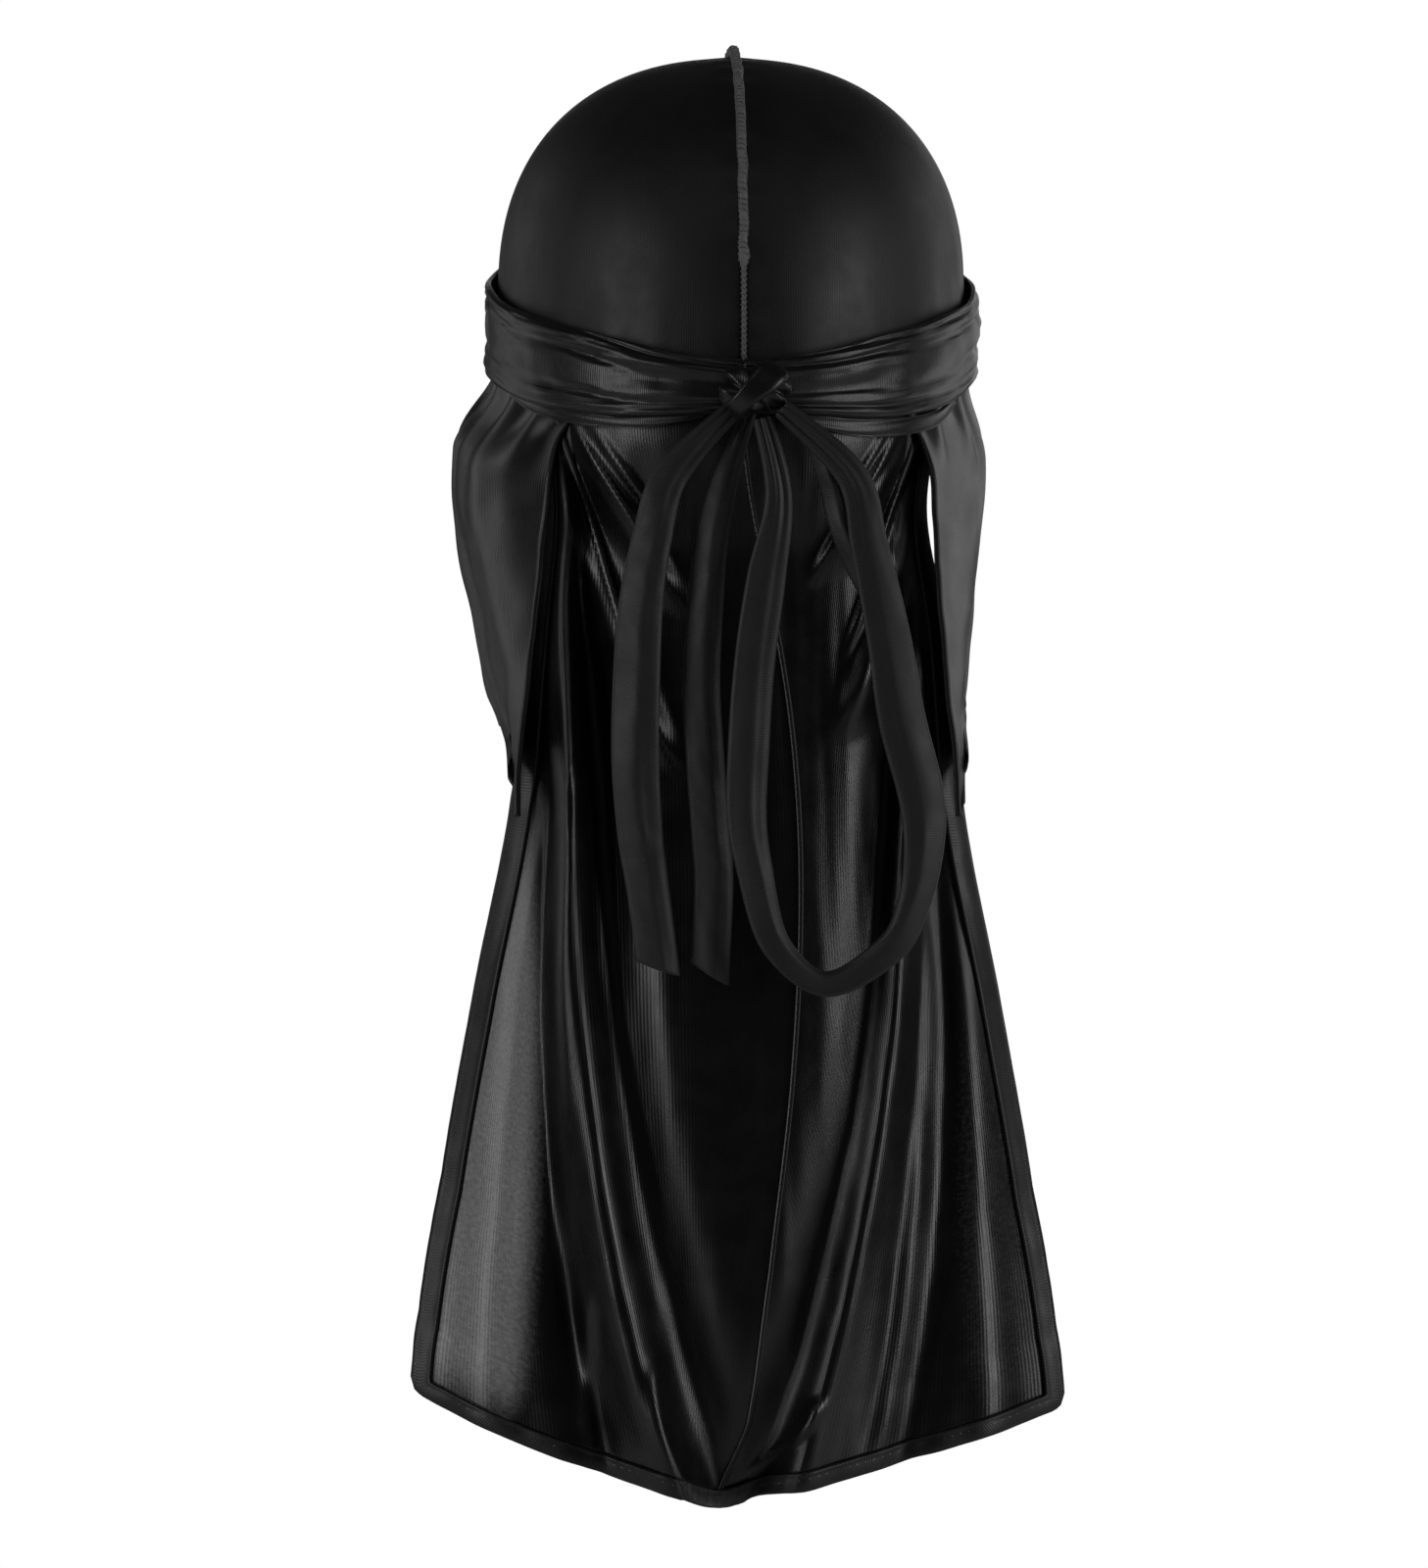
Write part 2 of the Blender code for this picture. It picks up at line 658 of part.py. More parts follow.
def make_cape_hem(material, holder):
    """The turned hem down one side, along the bottom and up the other side."""
    sides = CAPE_LEVELS
    bottom = 2 * CAPE_COLUMNS
    total = 2 * sides + bottom

    def place(along, across):
        step = round(along * total)
        inset = HEM_WIDTH * (1 - across)
        low = 1 - inset / CAPE_DROP
        if step <= sides:
            level = low * step / sides
            return cape_point(-1 + side_share(inset, level), level)
        if step >= sides + bottom:
            level = low * (total - step) / sides
            return cape_point(1 - side_share(inset, level), level)
        side = RIGHT if step - sides < CAPE_COLUMNS else LEFT
        share = abs(step - sides - CAPE_COLUMNS) / CAPE_COLUMNS
        outer = side * (1 - side_share(inset, low))
        return cape_point(cape_column(side, share, low, cape_seam_across(low), outer), low)

    return mapped_grid("cape_hem", total, 1, place, material, holder, wall=HEM_THICKNESS)


def make_cape_seam(material, holder):
    """The narrow felled seam down the cape's middle, over the join of its panels."""
    first = 1 / CAPE_LEVELS
    last = 1 - (HEM_WIDTH + HEM_GAP) / CAPE_DROP

    def place(along, around):
        level = last * between(first, 1, along)
        across = cape_seam_across(level)
        nudge = CAPE_READING_STEP
        point = cape_point(across, level)
        beside = cape_point(across + nudge, level) - cape_point(across - nudge, level)
        below = cape_point(across, level + nudge) - cape_point(across, level - nudge)
        outward = beside.cross(below).normalized()
        turn = 2 * math.pi * around
        lift = CLOTH + GAP + CAPE_SEAM_HEIGHT / 2 * (1 - math.cos(turn))
        return point + outward * lift + beside.normalized() * (CAPE_SEAM_WIDTH / 2 * math.sin(turn))

    return mapped_grid(
        "cape_seam", CAPE_LEVELS - 1, CAPE_SEAM_RING, place, material, holder, cap_ends=True
    )


def main():
    clear_scene()
    holder = new_collection("durag")
    satin = cloth_material("black_satin", (0.010, 0.010, 0.011), 0.42)
    tie_satin = cloth_material("black_tie_satin", (0.012, 0.012, 0.013), 0.36)
    sheer = cloth_material("black_sheer_satin", (0.014, 0.014, 0.015), 0.45)
    thread = cloth_material("black_overlock_thread", (0.020, 0.020, 0.021), 0.70)
    for side in (LEFT, RIGHT):
        make_crown_panel(side, satin, holder)
        make_wing(side, sheer, holder)
        make_cape_panel(side, sheer, holder)
    make_crown_seam(thread, holder)
    make_tie_band(tie_satin, holder)
    make_knot(tie_satin, holder)
    make_strap("tie_tail_outer", TAIL_OUTER, TAIL_STEPS, tie_satin, holder)
    make_strap("tie_tail_inner", TAIL_INNER, TAIL_STEPS, tie_satin, holder)
    make_strap("tie_loop", LOOP, LOOP_STEPS, tie_satin, holder, both_ends=True)
    make_cape_hem(sheer, holder)
    make_cape_seam(thread, holder)


main()
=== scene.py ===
"""The looks of a satin durag: its crown, tie, half bow, wings and flared cape in woven
black polyester, with their folds, seams and stitches, on a pale stage.

+Z is up, +X is the wearer's left and -Y is the forehead. Lengths are in metres. The
shape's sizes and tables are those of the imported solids, which these pieces replace."""

import math
from collections import namedtuple

import bmesh
import bpy
from bpy.props import FloatProperty, PointerProperty, StringProperty
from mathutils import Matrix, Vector, noise


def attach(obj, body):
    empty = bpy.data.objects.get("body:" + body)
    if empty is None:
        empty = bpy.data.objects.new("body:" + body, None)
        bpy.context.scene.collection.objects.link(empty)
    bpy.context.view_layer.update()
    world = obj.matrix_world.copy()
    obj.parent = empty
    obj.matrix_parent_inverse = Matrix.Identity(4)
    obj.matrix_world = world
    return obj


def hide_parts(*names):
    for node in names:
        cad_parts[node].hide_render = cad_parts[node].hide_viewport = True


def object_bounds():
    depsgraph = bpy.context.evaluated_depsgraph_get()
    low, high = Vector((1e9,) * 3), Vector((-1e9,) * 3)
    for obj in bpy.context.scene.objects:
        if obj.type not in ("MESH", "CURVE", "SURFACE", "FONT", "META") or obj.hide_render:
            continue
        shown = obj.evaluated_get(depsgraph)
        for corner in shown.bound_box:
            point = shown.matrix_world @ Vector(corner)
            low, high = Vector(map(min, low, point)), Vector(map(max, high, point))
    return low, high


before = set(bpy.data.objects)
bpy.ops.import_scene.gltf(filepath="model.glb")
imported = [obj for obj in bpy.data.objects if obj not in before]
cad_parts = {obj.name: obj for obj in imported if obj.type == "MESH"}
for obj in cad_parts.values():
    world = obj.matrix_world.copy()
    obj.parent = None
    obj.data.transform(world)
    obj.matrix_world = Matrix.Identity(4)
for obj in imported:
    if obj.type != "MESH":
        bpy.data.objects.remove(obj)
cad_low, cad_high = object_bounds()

bl_info = {
    "name": "Durag",
    "version": (1, 0, 0),
    "blender": (4, 5, 0),
    "location": "View3D > Sidebar > Durag",
    "description": "A worn satin durag with a half bow and a flared cape",
    "category": "Add Mesh",
}


def table(columns, *rows):
    """Rows whose columns have names."""
    row_kind = namedtuple("Row", columns)
    return tuple(row_kind(*row) for row in rows)


# The hollow of the crown, which is the head that it fits.
HEAD_WIDTH = 0.1620
HEAD_LENGTH = 0.1980
DOME_DEPTH_SIDES = 0.080
DOME_DEPTH_ENDS = 0.100
DOME_POWER = 2.3

# Cloth, and the clearance between pieces that are sewn or tied together.
CLOTH = 0.0010
GAP = 0.0003

# The raised seam over the crown: overlocked and tall, then a flat stitched end.
SEAM_WIDTH = 0.0026
SEAM_HEIGHT = 0.0038
SEAM_END_WIDTH = 0.0014
SEAM_END_HEIGHT = 0.0010
SEAM_STEP_DEPTH = 0.079

# The tie round the head. Its middle line lies in a plane that falls to the back.
BAND_DROP = 0.0935
BAND_TILT = 0.0260
BAND_HEIGHT = 0.0310
BAND_HEIGHT_AT_KNOT = 0.0185
BAND_THICKNESS = 0.0012
BAND_BULK_AT_KNOT = 0.0022
BAND_PLEAT = 0.0005
BAND_NARROWS_WITHIN = math.radians(28)
BAND_THICKENS_WITHIN = math.radians(45)

# The knot and the straps that hang from it.
KNOT_WIDTH = 0.0270
KNOT_HEIGHT = 0.0215
KNOT_DEPTH = 0.0150
KNOT_OFF_CENTRE = -0.0034
KNOT_CREASE_PLACE = 0.45
KNOT_CREASE_SLANT = math.radians(37)
STRAP_CLEARANCE = 0.0009
BOW_DROP = 0.2040
BOW_REACH = 0.0600
STRAP_WIDTH = 0.0165
STRAP_THICKNESS = 0.0030
STRAP_WIDTH_AT_KNOT = 0.0069

# The wings: how low they hang below the knot and how far they stand out.
WING_DROP = 0.1460
WING_TOP_DROP = 0.0030
WING_FRONT_ANGLE = math.radians(112)
WING_BACK_ANGLE = math.radians(52)
WING_TURN_IN = math.radians(12)
WING_TURN_IN_LEVELS = 0.12
WING_ROW_CROWDING = 1.5

# The cape, measured from the band's line at the back.
CAPE_HALF_ANGLE = math.radians(59)
CAPE_DROP = 0.3825
CAPE_RISE_LEFT = 0.0350
CAPE_RISE_LEFT_POWER = 1.6
CAPE_RISE_RIGHT = 0.0285
CAPE_RISE_RIGHT_POWER = 1.2
CAPE_POINT_DIP = 0.0040
CAPE_HEM_HALF_WIDTH = 0.1122
CAPE_CORNER_ROUND = 0.0045
HEM_WIDTH = 0.0048
HEM_THICKNESS = 0.0014
HEM_GAP = 0.0006
CAPE_SEAM_WIDTH = 0.0018
CAPE_SEAM_HEIGHT = 0.0010
CAPE_POINT_HALF_WIDTH = 0.0110
CAPE_BOW_POWER = 2.4
EDGE_CALM = 0.8
EDGE_CALM_WIDTH = 0.0135
FOLD_HEIGHT = 0.0110
FOLD_RUN_OUT = 0.3
MAIN_FOLD_LIMIT = 0.78
CAPE_LETTING_GO = 0.0460
WING_LETTING_GO = 0.0270

HALF_WIDTH = HEAD_WIDTH / 2
HALF_LENGTH = HEAD_LENGTH / 2
LEFT = 1
RIGHT = -1
OUT_BACK = Vector((0, 1, 0))

# Layers at the band, as distances out from the head.
WING_OFFSET = HEM_THICKNESS + GAP
BAND_OFFSET = WING_OFFSET + CLOTH + 2 * GAP

# A wing's section at a few levels. level is a share of the way from band to tip, and
# the x and y are shares of the head's half width and half length. The left wing
# stands out further, so each side has its own column for that.
WING_ROWS = table(
    "level back_x back_y left_x right_x side_y front_x front_y",
    (0.00, 0.755, 0.79, 1.05, 1.03, 0.06, 1.02, -0.36),
    (0.14, 0.805, 0.77, 1.15, 1.07, 0.06, 1.05, -0.35),
    (0.26, 0.825, 0.745, 1.195, 1.085, 0.08, 1.065, -0.31),
    (0.40, 0.845, 0.73, 1.18, 1.07, 0.10, 1.06, -0.23),
    (0.58, 0.875, 0.71, 1.11, 1.025, 0.18, 1.03, -0.09),
    (0.76, 0.905, 0.69, 1.04, 0.985, 0.29, 0.995, 0.12),
    (0.90, 0.930, 0.680, 0.985, 0.970, 0.49, 0.975, 0.38),
    (1.00, 0.935, 0.680, 0.970, 0.965, 0.63, 0.975, 0.580),
)

# The cape's section at a few levels. spread is a share of the way from the half width
# at the band, where the cape lies round the head, to the hem's. seam is the centre
# seam's place as a share of the half width there, and the depths are shares of the
# head's half length.
CAPE_ROWS = table(
    "level spread seam side_y middle_y",
    (0.00, -0.029, 0.000, 0.545, 1.000),
    (0.07, -0.010, -0.016, 0.565, 0.900),
    (0.17, 0.029, -0.127, 0.570, 0.830),
    (0.30, 0.082, -0.231, 0.555, 0.810),
    (0.43, 0.187, -0.261, 0.520, 0.830),
    (0.61, 0.475, -0.200, 0.500, 0.870),
    (0.80, 0.751, -0.094, 0.515, 0.915),
    (0.93, 0.934, -0.021, 0.545, 0.940),
    (1.00, 1.000, 0.085, 0.565, 0.950),
)

# The cape's folds. Each runs from (from_x, from_level) to (to_x, to_level), bowed
# sideways in its middle; x is a share of the half width there, positive to the
# wearer's left. height is a share of FOLD_HEIGHT, and a valley is negative.
FOLD_COLUMNS = "from_x from_level to_x to_level bow width height"
FOLDS = table(
    FOLD_COLUMNS,
    (0.92, 0.14, 0.17, 1.02, 0.10, 0.085, 0.95),
    (-0.94, 0.20, -0.13, 1.02, -0.03, 0.085, 0.90),
    (0.74, 0.22, 0.02, 1.00, 0.06, 0.120, -0.75),
    (-0.78, 0.26, -0.04, 1.00, -0.08, 0.120, -0.80),
    (0.80, 0.45, 0.42, 1.00, 0.04, 0.080, -0.55),
    (-0.84, 0.48, -0.48, 1.00, -0.04, 0.080, -0.60),
    (0.86, 0.02, 0.42, 0.17, 0.02, 0.090, 0.60),
    (0.90, 0.10, 0.46, 0.30, 0.02, 0.090, 0.70),
    (-0.84, 0.03, -0.52, 0.15, -0.02, 0.090, 0.60),
    (-0.96, 0.08, -0.60, 0.28, -0.02, 0.090, 0.70),
    (0.90, 0.62, 0.78, 1.02, 0.00, 0.090, 0.30),
    (-0.90, 0.62, -0.76, 1.02, 0.00, 0.090, 0.35),
)

# The straps' routes. down is a share of BOW_DROP below the knot's middle, across a
# share of BOW_REACH (positive to the wearer's left), width a share of STRAP_WIDTH, and
# out a share of KNOT_DEPTH from the knot's middle, positive away from the head.
STRAP_COLUMNS = "down across width out"
TAIL_OUTER = table(
    STRAP_COLUMNS,
    (0.150, 0.475, 0.72, -0.25),
    (0.255, 0.580, 0.82, -0.28),
    (0.355, 0.637, 0.92, -0.32),
    (0.490, 0.665, 1.00, -0.40),
    (0.625, 0.670, 1.00, -0.48),
    (0.745, 0.645, 0.94, -0.56),
    (0.830, 0.605, 0.88, -0.62),
    (0.985, 0.535, 0.84, -0.70),
)
TAIL_INNER = table(
    STRAP_COLUMNS,
    (0.155, 0.165, 0.56, -0.45),
    (0.250, 0.240, 0.70, -0.48),
    (0.355, 0.275, 0.74, -0.52),
    (0.490, 0.300, 0.77, -0.60),
    (0.625, 0.280, 0.79, -0.66),
    (0.745, 0.247, 0.80, -0.74),
    (0.830, 0.230, 0.80, -0.80),
    (0.995, 0.255, 0.80, -0.86),
)
LOOP = table(
    STRAP_COLUMNS,
    (0.185, -0.127, 0.56, 0.20),
    (0.320, -0.057, 0.80, 0.16),
    (0.455, 0.007, 0.84, 0.08),
    (0.590, 0.040, 0.86, 0.00),
    (0.710, 0.052, 0.82, -0.06),
    (0.800, 0.010, 0.74, -0.10),
    (0.930, -0.110, 0.62, -0.12),
    (0.996, -0.400, 0.56, -0.10),
    (0.935, -0.760, 0.60, -0.06),
    (0.860, -0.890, 0.70, -0.04),
    (0.765, -0.945, 0.86, -0.02),
    (0.680, -0.930, 0.98, 0.02),
    (0.550, -0.820, 1.00, 0.08),
    (0.415, -0.715, 0.98, 0.16),
    (0.265, -0.570, 0.90, 0.26),
    (0.150, -0.450, 0.78, 0.30),
)

# Below 1, a flat piece's section is fuller than an ellipse.
SECTION_FULLNESS = 0.6

# Fine work that the solids leave out. The ribbons run a little outside the solids' rows
# where the loop's inner fold shows beside it.
LOOP_RIBBON = table(
    STRAP_COLUMNS,
    *LOOP[:13],
    (0.415, -0.745, 0.92, 0.16),
    (0.265, -0.635, 0.78, 0.26),
    (0.150, -0.535, 0.66, 0.30),
)
LOOP_INNER_FOLD = table(
    STRAP_COLUMNS,
    (0.080, -0.300, 0.34, 0.02),
    (0.150, -0.400, 0.42, 0.02),
    (0.230, -0.480, 0.50, 0.02),
    (0.310, -0.590, 0.50, 0.00),
    (0.380, -0.690, 0.34, -0.02),
)
FINE_FOLDS = table(
    FOLD_COLUMNS,
    (0.84, 0.02, 0.52, 0.13, 0.01, 0.020, 0.26),
    (0.86, 0.05, 0.58, 0.22, 0.02, 0.024, 0.30),
    (0.74, 0.02, 0.40, 0.12, 0.01, 0.026, 0.24),
    (-0.86, 0.06, -0.58, 0.22, -0.02, 0.024, 0.30),
    (-0.72, 0.02, -0.50, 0.10, -0.01, 0.020, 0.24),
    (-0.80, 0.02, -0.44, 0.15, -0.01, 0.026, 0.22),
    (0.87, 0.14, 0.62, 0.74, 0.03, 0.050, 0.50),
    (0.72, 0.55, 0.22, 1.00, 0.05, 0.050, 0.16),
    (0.84, 0.34, 0.36, 1.02, 0.10, 0.040, -0.24),
    (-0.76, 0.40, -0.12, 1.00, -0.05, 0.050, 0.16),
    (-0.90, 0.25, -0.34, 1.02, -0.04, 0.040, -0.24),
    (0.50, 0.86, 0.46, 0.99, 0.00, 0.030, 0.28),
    (0.28, 0.90, 0.20, 0.98, 0.02, 0.024, 0.18),
    (-0.22, 0.93, -0.06, 0.97, -0.03, 0.024, 0.26),
)

# How far out from its middle the cape is gathered and closed, as a share of its half
# width. Past that it hangs open, and OPEN_FADE is half the width of the change.
OPEN_ROWS = table(
    "level left right",
    (0.00, 1.10, 1.10),
    (0.30, 1.04, 1.06),
    (0.45, 0.90, 0.96),
    (0.60, 0.76, 0.84),
    (0.80, 0.68, 0.72),
    (1.00, 0.66, 0.70),
)
OPEN_FADE = 0.07

# The other strap's layer below the band, beside the knot. angle is in degrees from the
# back, and drop and half_height are shares of BAND_HEIGHT.
WRAP_COLUMNS = "along angle drop half_height"
LOWER_WRAP_RIGHT = table(
    WRAP_COLUMNS,
    (0.0, 10, 0.32, 0.06),
    (0.4, 30, 0.54, 0.10),
    (0.8, 52, 0.62, 0.09),
    (1.0, 62, 0.50, 0.05),
)
LOWER_WRAP_LEFT = table(
    WRAP_COLUMNS,
    (0.0, 9, 0.30, 0.05),
    (0.4, 28, 0.46, 0.08),
    (0.8, 56, 0.52, 0.07),
    (1.0, 70, 0.40, 0.04),
)
WRAP_THICKNESS = 0.0016
WRAP_RIPPLE = 0.0003

# The knot is drawn in and settled a little from the solid, with creases between its
# strands and one strand over it.
KNOT_NARROWED = 0.94
KNOT_DRAWN_IN = 0.84
KNOT_SETTLED = 0.0016
KNOT_CREASE = 0.20
KNOT_CREASE_SPREAD = 0.14
KNOT_LUMPS = 0.16
KNOT_FINE_CREASE = 0.05
KNOT_WRAP_WIDTH = 0.0085
WRAP_OVER_KNOT = 0.98

# The band's folded layers, and how uneven its edges and its face are.
BAND_ROLLS = 3.4
BAND_EDGE_WAVE = 0.07
BAND_RIPPLE = 0.0003
BAND_STREAK = 0.0010

# The straps: the crease along each, its fullness beside the edges and at the knot, how
# it bends across and along, the loop's turn at its bottom and the slant of a cut end.
STRAP_CREASE = 0.30
STRAP_CREASE_PLACE = -0.42
STRAP_EDGE_ROLL = 0.25
STRAP_UNEVEN = 0.00025
STRAP_GATHER = 0.0006
STRAP_WAVE = 0.0009
STRAP_BEND = 0.0040
STRAP_END_SLANT = 0.035
LOOP_TWIST = 1.0
LOOP_TWIST_PLACE = 0.47
LOOP_TWIST_RUN = 0.07

# The crown's puckers beside its seam, and the faint drag lines above the band.
PUCKERS = 46
PUCKER_REACH = 0.006
PUCKER_REST = 0.0002
DRAG_HEIGHT = 0.0007
DRAG_REACH = 0.022

# The ridge over the crown: its step down to the flat end, its lean, and the thread that
# is wound round it.
SEAM_STEP_RUN = 0.006
SEAM_KNOT_RUN = 0.0024
SEAM_KNOT_SIZE = 0.0014
RIDGE_LEAN = 0.0007
RIDGE_UNEVEN = 0.30
RIDGE_STITCHES = 150
STITCH_THREAD = 0.00046
STITCH_SLANT = 0.0006
STITCH_LOOSENESS = 0.12

# The wings' gathers and long folds, the rise of their front tips, the share of the way
# down in which the folds come in, and the rolled edge.
WING_GATHERS = 0.0011
WING_LONG_FOLD = 0.0016
WING_UNEVEN = 0.0008
WING_TIP_RISE = 0.026
WING_HELD = 0.05
WING_EDGE_START = 0.05
WING_EDGE_WIDTH = 0.0022
WING_EDGE_THICKNESS = 0.0014

# The cape: the slits beside its top, where its folds start below the band, the hem's
# roll and lap, and the running stitches. The felled seam starts one part in
# CAPE_SEAM_START of the way down.
SLIT_DEPTH = {LEFT: 0.0030, RIGHT: 0.0062}
SLIT_LEVEL = 0.155
SLIT_RUN = 0.075
SWAG_START = 0.010
SWAG_LETTING_GO = 0.028
FOLD_DRAPE = 0.07
FOLD_CRINKLE = 0.03
HEM_ROLL = 0.0005
HEM_RIPPLE = 0.0003
HEM_LAP = 0.0016
HEM_LAP_RISE = 0.0007
HEM_STITCH = 0.0030
STITCH_DIP = 0.00025
CAPE_SEAM_START = 22
CAPE_SEAM_STITCHES = 130

# Finishes. A wave texture's own scale counts 20 radians a metre. GATHERED_ALPHA is
# clamped to 1, so that the slubs show only where the cloth hangs open. The closeness is
# how gathered a sheet is where it hangs most open, from 0 (one flat layer) to 1.
# NOISE_RANGE is where a noise texture's values mostly lie.
NOISE_RANGE = (0.3, 0.7)
POLYESTER_IOR = 1.57
WAVE_SCALE = 2 * math.pi / 20
MOTTLE_SIZE = 0.012
MOTTLE_LIFT = 1.2
GRAIN_SIZE = 0.0011
GLOSS_GAIN = 0.04
GLOSS_LOSS = 0.05
SLUB_SIZE = 0.0016
SLUB_SPREAD = 0.05
THREAD_TWIST = 0.0006
SHEER_ALPHA = 0.70
GATHERED_ALPHA = 1.06
WING_CLOSENESS = {LEFT: 0.78, RIGHT: 0.64}
CAPE_CLOSENESS = {LEFT: 0.06, RIGHT: 0.66}
SATIN_PITCH = 0.0008
CAPE_PITCH = 0.0009

# How finely each piece is meshed.
CROWN_COLUMNS = 256
CROWN_RINGS = 130
CROWN_LINE_POINTS = 160
HEM_SIDE_STEPS = 190
HEM_BOTTOM_STEPS = 120
WING_COLUMNS = 90
WING_LEVELS = 120
CAPE_COLUMNS = 120
CAPE_LEVELS = 190
THREAD_SIDES = 5

# Steps along a curve, as shares of it, for reading its direction.
STRAP_READING_STEP = 0.002
WING_READING_STEP = 0.01
CAPE_READING_STEP = 0.02
STITCH_READING_STEP = 0.0005

# The camera's place, fitted to the photograph, whose frame is given in its own pixels.
PHOTO_WIDTH = 1457
PHOTO_HEIGHT = 1600
TARGET_PIXEL = (746, 802)
FOCAL_PIXELS = 7514
SENSOR = 36
CAMERA_AZIMUTH = math.radians(177.7)
CAMERA_DISTANCE = 2.6
CAMERA_TARGET_HEIGHT = -0.255

# The stage.
FLOOR_DROP = 0.25
FLOOR_RADIUS = 1.9
SURROUND_LIGHT = 0.028
LIGHT_AIM_HEIGHT = -0.25
SOFT_LIGHTS = (
    ("softbox_left", (1.90, 0.90, 0.12), (0.7, 1.2), 8.4),
    ("softbox_right", (-1.90, 0.90, 0.12), (0.7, 1.2), 9.8),
    ("edge_light_left", (1.7, -1.5, 0.0), (0.8, 1.8), 3),
    ("edge_light_right", (-1.7, -1.5, 0.0), (0.8, 1.8), 5),
    ("fill_behind", (0.2, 2.0, 1.9), (1.4, 1.0), 2.4),
    ("fill_front", (-0.4, -2.8, 0.4), (1.8, 1.0), 5),
)


def sided(name, side):
    """The name with its side, which is the wearer's."""
    return name + ("_left" if side == LEFT else "_right")


def between(low, high, share):
    return low + (high - low) * share


def eased(share):
    """0 to 1 with a level start and end."""
    share = min(1, max(0, share))
    return share * share * (3 - 2 * share)


def hump(distance, width):
    return math.exp(-((distance / width) ** 2))


def from_rows(rows, column, key):
    """A smooth reading of one column at a place along the first column."""
    last = len(rows) - 2
    at = 0
    while at < last and key > rows[at + 1][0]:
        at += 1
    near = [getattr(rows[min(max(at + k, 0), last + 1)], column) for k in (-1, 0, 1, 2)]
    share = (key - rows[at][0]) / (rows[at + 1][0] - rows[at][0])
    share = min(1, max(0, share))
    return smooth_step_through(near, share)


def smooth_step_through(near, share):
    """A curve through the two middle values of four."""
    before, start, end, after = near
    return start + share * 0.5 * (
        (end - before)
        + share * (2 * before - 5 * start + 4 * end - after)
        + share * share * (3 * (start - end) + after - before)
    )


def swell(share):
    """The dome's spread, from 0 at its top to 1 where its wall is upright."""
    if share >= 1:
        return 1
    return (1 - (1 - share) ** DOME_POWER) ** (1 / DOME_POWER)


def head_point(angle, height, offset):
    """A point round the head. angle is 0 at the back and grows to the wearer's left."""
    depth = max(0, -height)
    across = HALF_WIDTH * swell(depth / DOME_DEPTH_SIDES) + offset
    along = HALF_LENGTH * swell(depth / DOME_DEPTH_ENDS) + offset
    return Vector((across * math.sin(angle), along * math.cos(angle), height))


def band_line(angle):
    """The height of the tie's middle line, which is also the crown's lower edge."""
    return -BAND_DROP - BAND_TILT * math.cos(angle)


def band_height(angle):
    turned = math.atan2(math.sin(angle), math.cos(angle))
    return between(BAND_HEIGHT, BAND_HEIGHT_AT_KNOT, hump(turned, BAND_NARROWS_WITHIN))


def crown_ridge_line(count):
    """Evenly spaced (point, outward) pairs over the head's middle, forehead to back."""
    front_end = band_line(math.pi) + BAND_HEIGHT / 2 + GAP
    back_end = band_line(0) + BAND_HEIGHT_AT_KNOT / 2 + GAP
    fine = []
    for step in range(CROWN_LINE_POINTS + 1):
        share = 2 * step / CROWN_LINE_POINTS - 1
        end, angle = (back_end, 0) if share > 0 else (front_end, math.pi)
        fine.append(head_point(angle, end * share**2, 0))
    return spaced(fine, count)


def spaced(fine, count):
    """count evenly spaced points of a polyline, with the direction at each."""
    lengths = [0]
    for start, end in zip(fine, fine[1:]):
        lengths.append(lengths[-1] + (end - start).length)
    found = []
    at = 0
    for step in range(count + 1):
        want = lengths[-1] * step / count
        while at < len(fine) - 2 and lengths[at + 1] < want:
            at += 1
        share = (want - lengths[at]) / (lengths[at + 1] - lengths[at])
        direction = (fine[min(at + 2, len(fine) - 1)] - fine[max(at - 1, 0)]).normalized()
        found.append((fine[at].lerp(fine[at + 1], share), direction))
    return found


def squared_cosine(turn):
    """A cosine with fuller shoulders, for a section between round and square."""
    value = math.cos(turn)
    return math.copysign(abs(value) ** SECTION_FULLNESS, value)


def knot_middle():
    reach = BAND_OFFSET + BAND_THICKNESS + BAND_BULK_AT_KNOT + BAND_PLEAT + GAP
    return Vector((KNOT_OFF_CENTRE, HALF_LENGTH + reach + KNOT_DEPTH / 2, band_line(0)))


def knot_exit(towards, out_share):
    """Where a strap leaves the knot, just clear of it, on its way to a point."""
    middle = knot_middle()
    slope = math.atan2(towards.z - middle.z, towards.x - middle.x)
    near_side = max(0, abs(out_share) - STRAP_THICKNESS / 2 / KNOT_DEPTH)
    shrink = math.sqrt(1 - (2 * near_side) ** 2)
    radius = 1 / math.hypot(
        math.cos(slope) / (KNOT_WIDTH / 2 * shrink), math.sin(slope) / (KNOT_HEIGHT / 2 * shrink)
    )
    radius += STRAP_CLEARANCE
    return Vector(
        (
            middle.x + radius * math.cos(slope),
            middle.y + out_share * KNOT_DEPTH,
            middle.z + radius * math.sin(slope),
        )
    )


def strap_route(rows, both_ends):
    """Points and widths of a strap from the knot, and back to it for a loop."""
    middle = knot_middle()
    points = [
        middle + Vector((row.across * BOW_REACH, row.out * KNOT_DEPTH, -row.down * BOW_DROP))
        for row in rows
    ]
    widths = [row.width * STRAP_WIDTH for row in rows]
    points.insert(0, knot_exit(points[0], rows[0].out))
    widths.insert(0, STRAP_WIDTH_AT_KNOT)
    if both_ends:
        points.append(knot_exit(points[-1], rows[-1].out))
        widths.append(STRAP_WIDTH_AT_KNOT)
    return points, widths


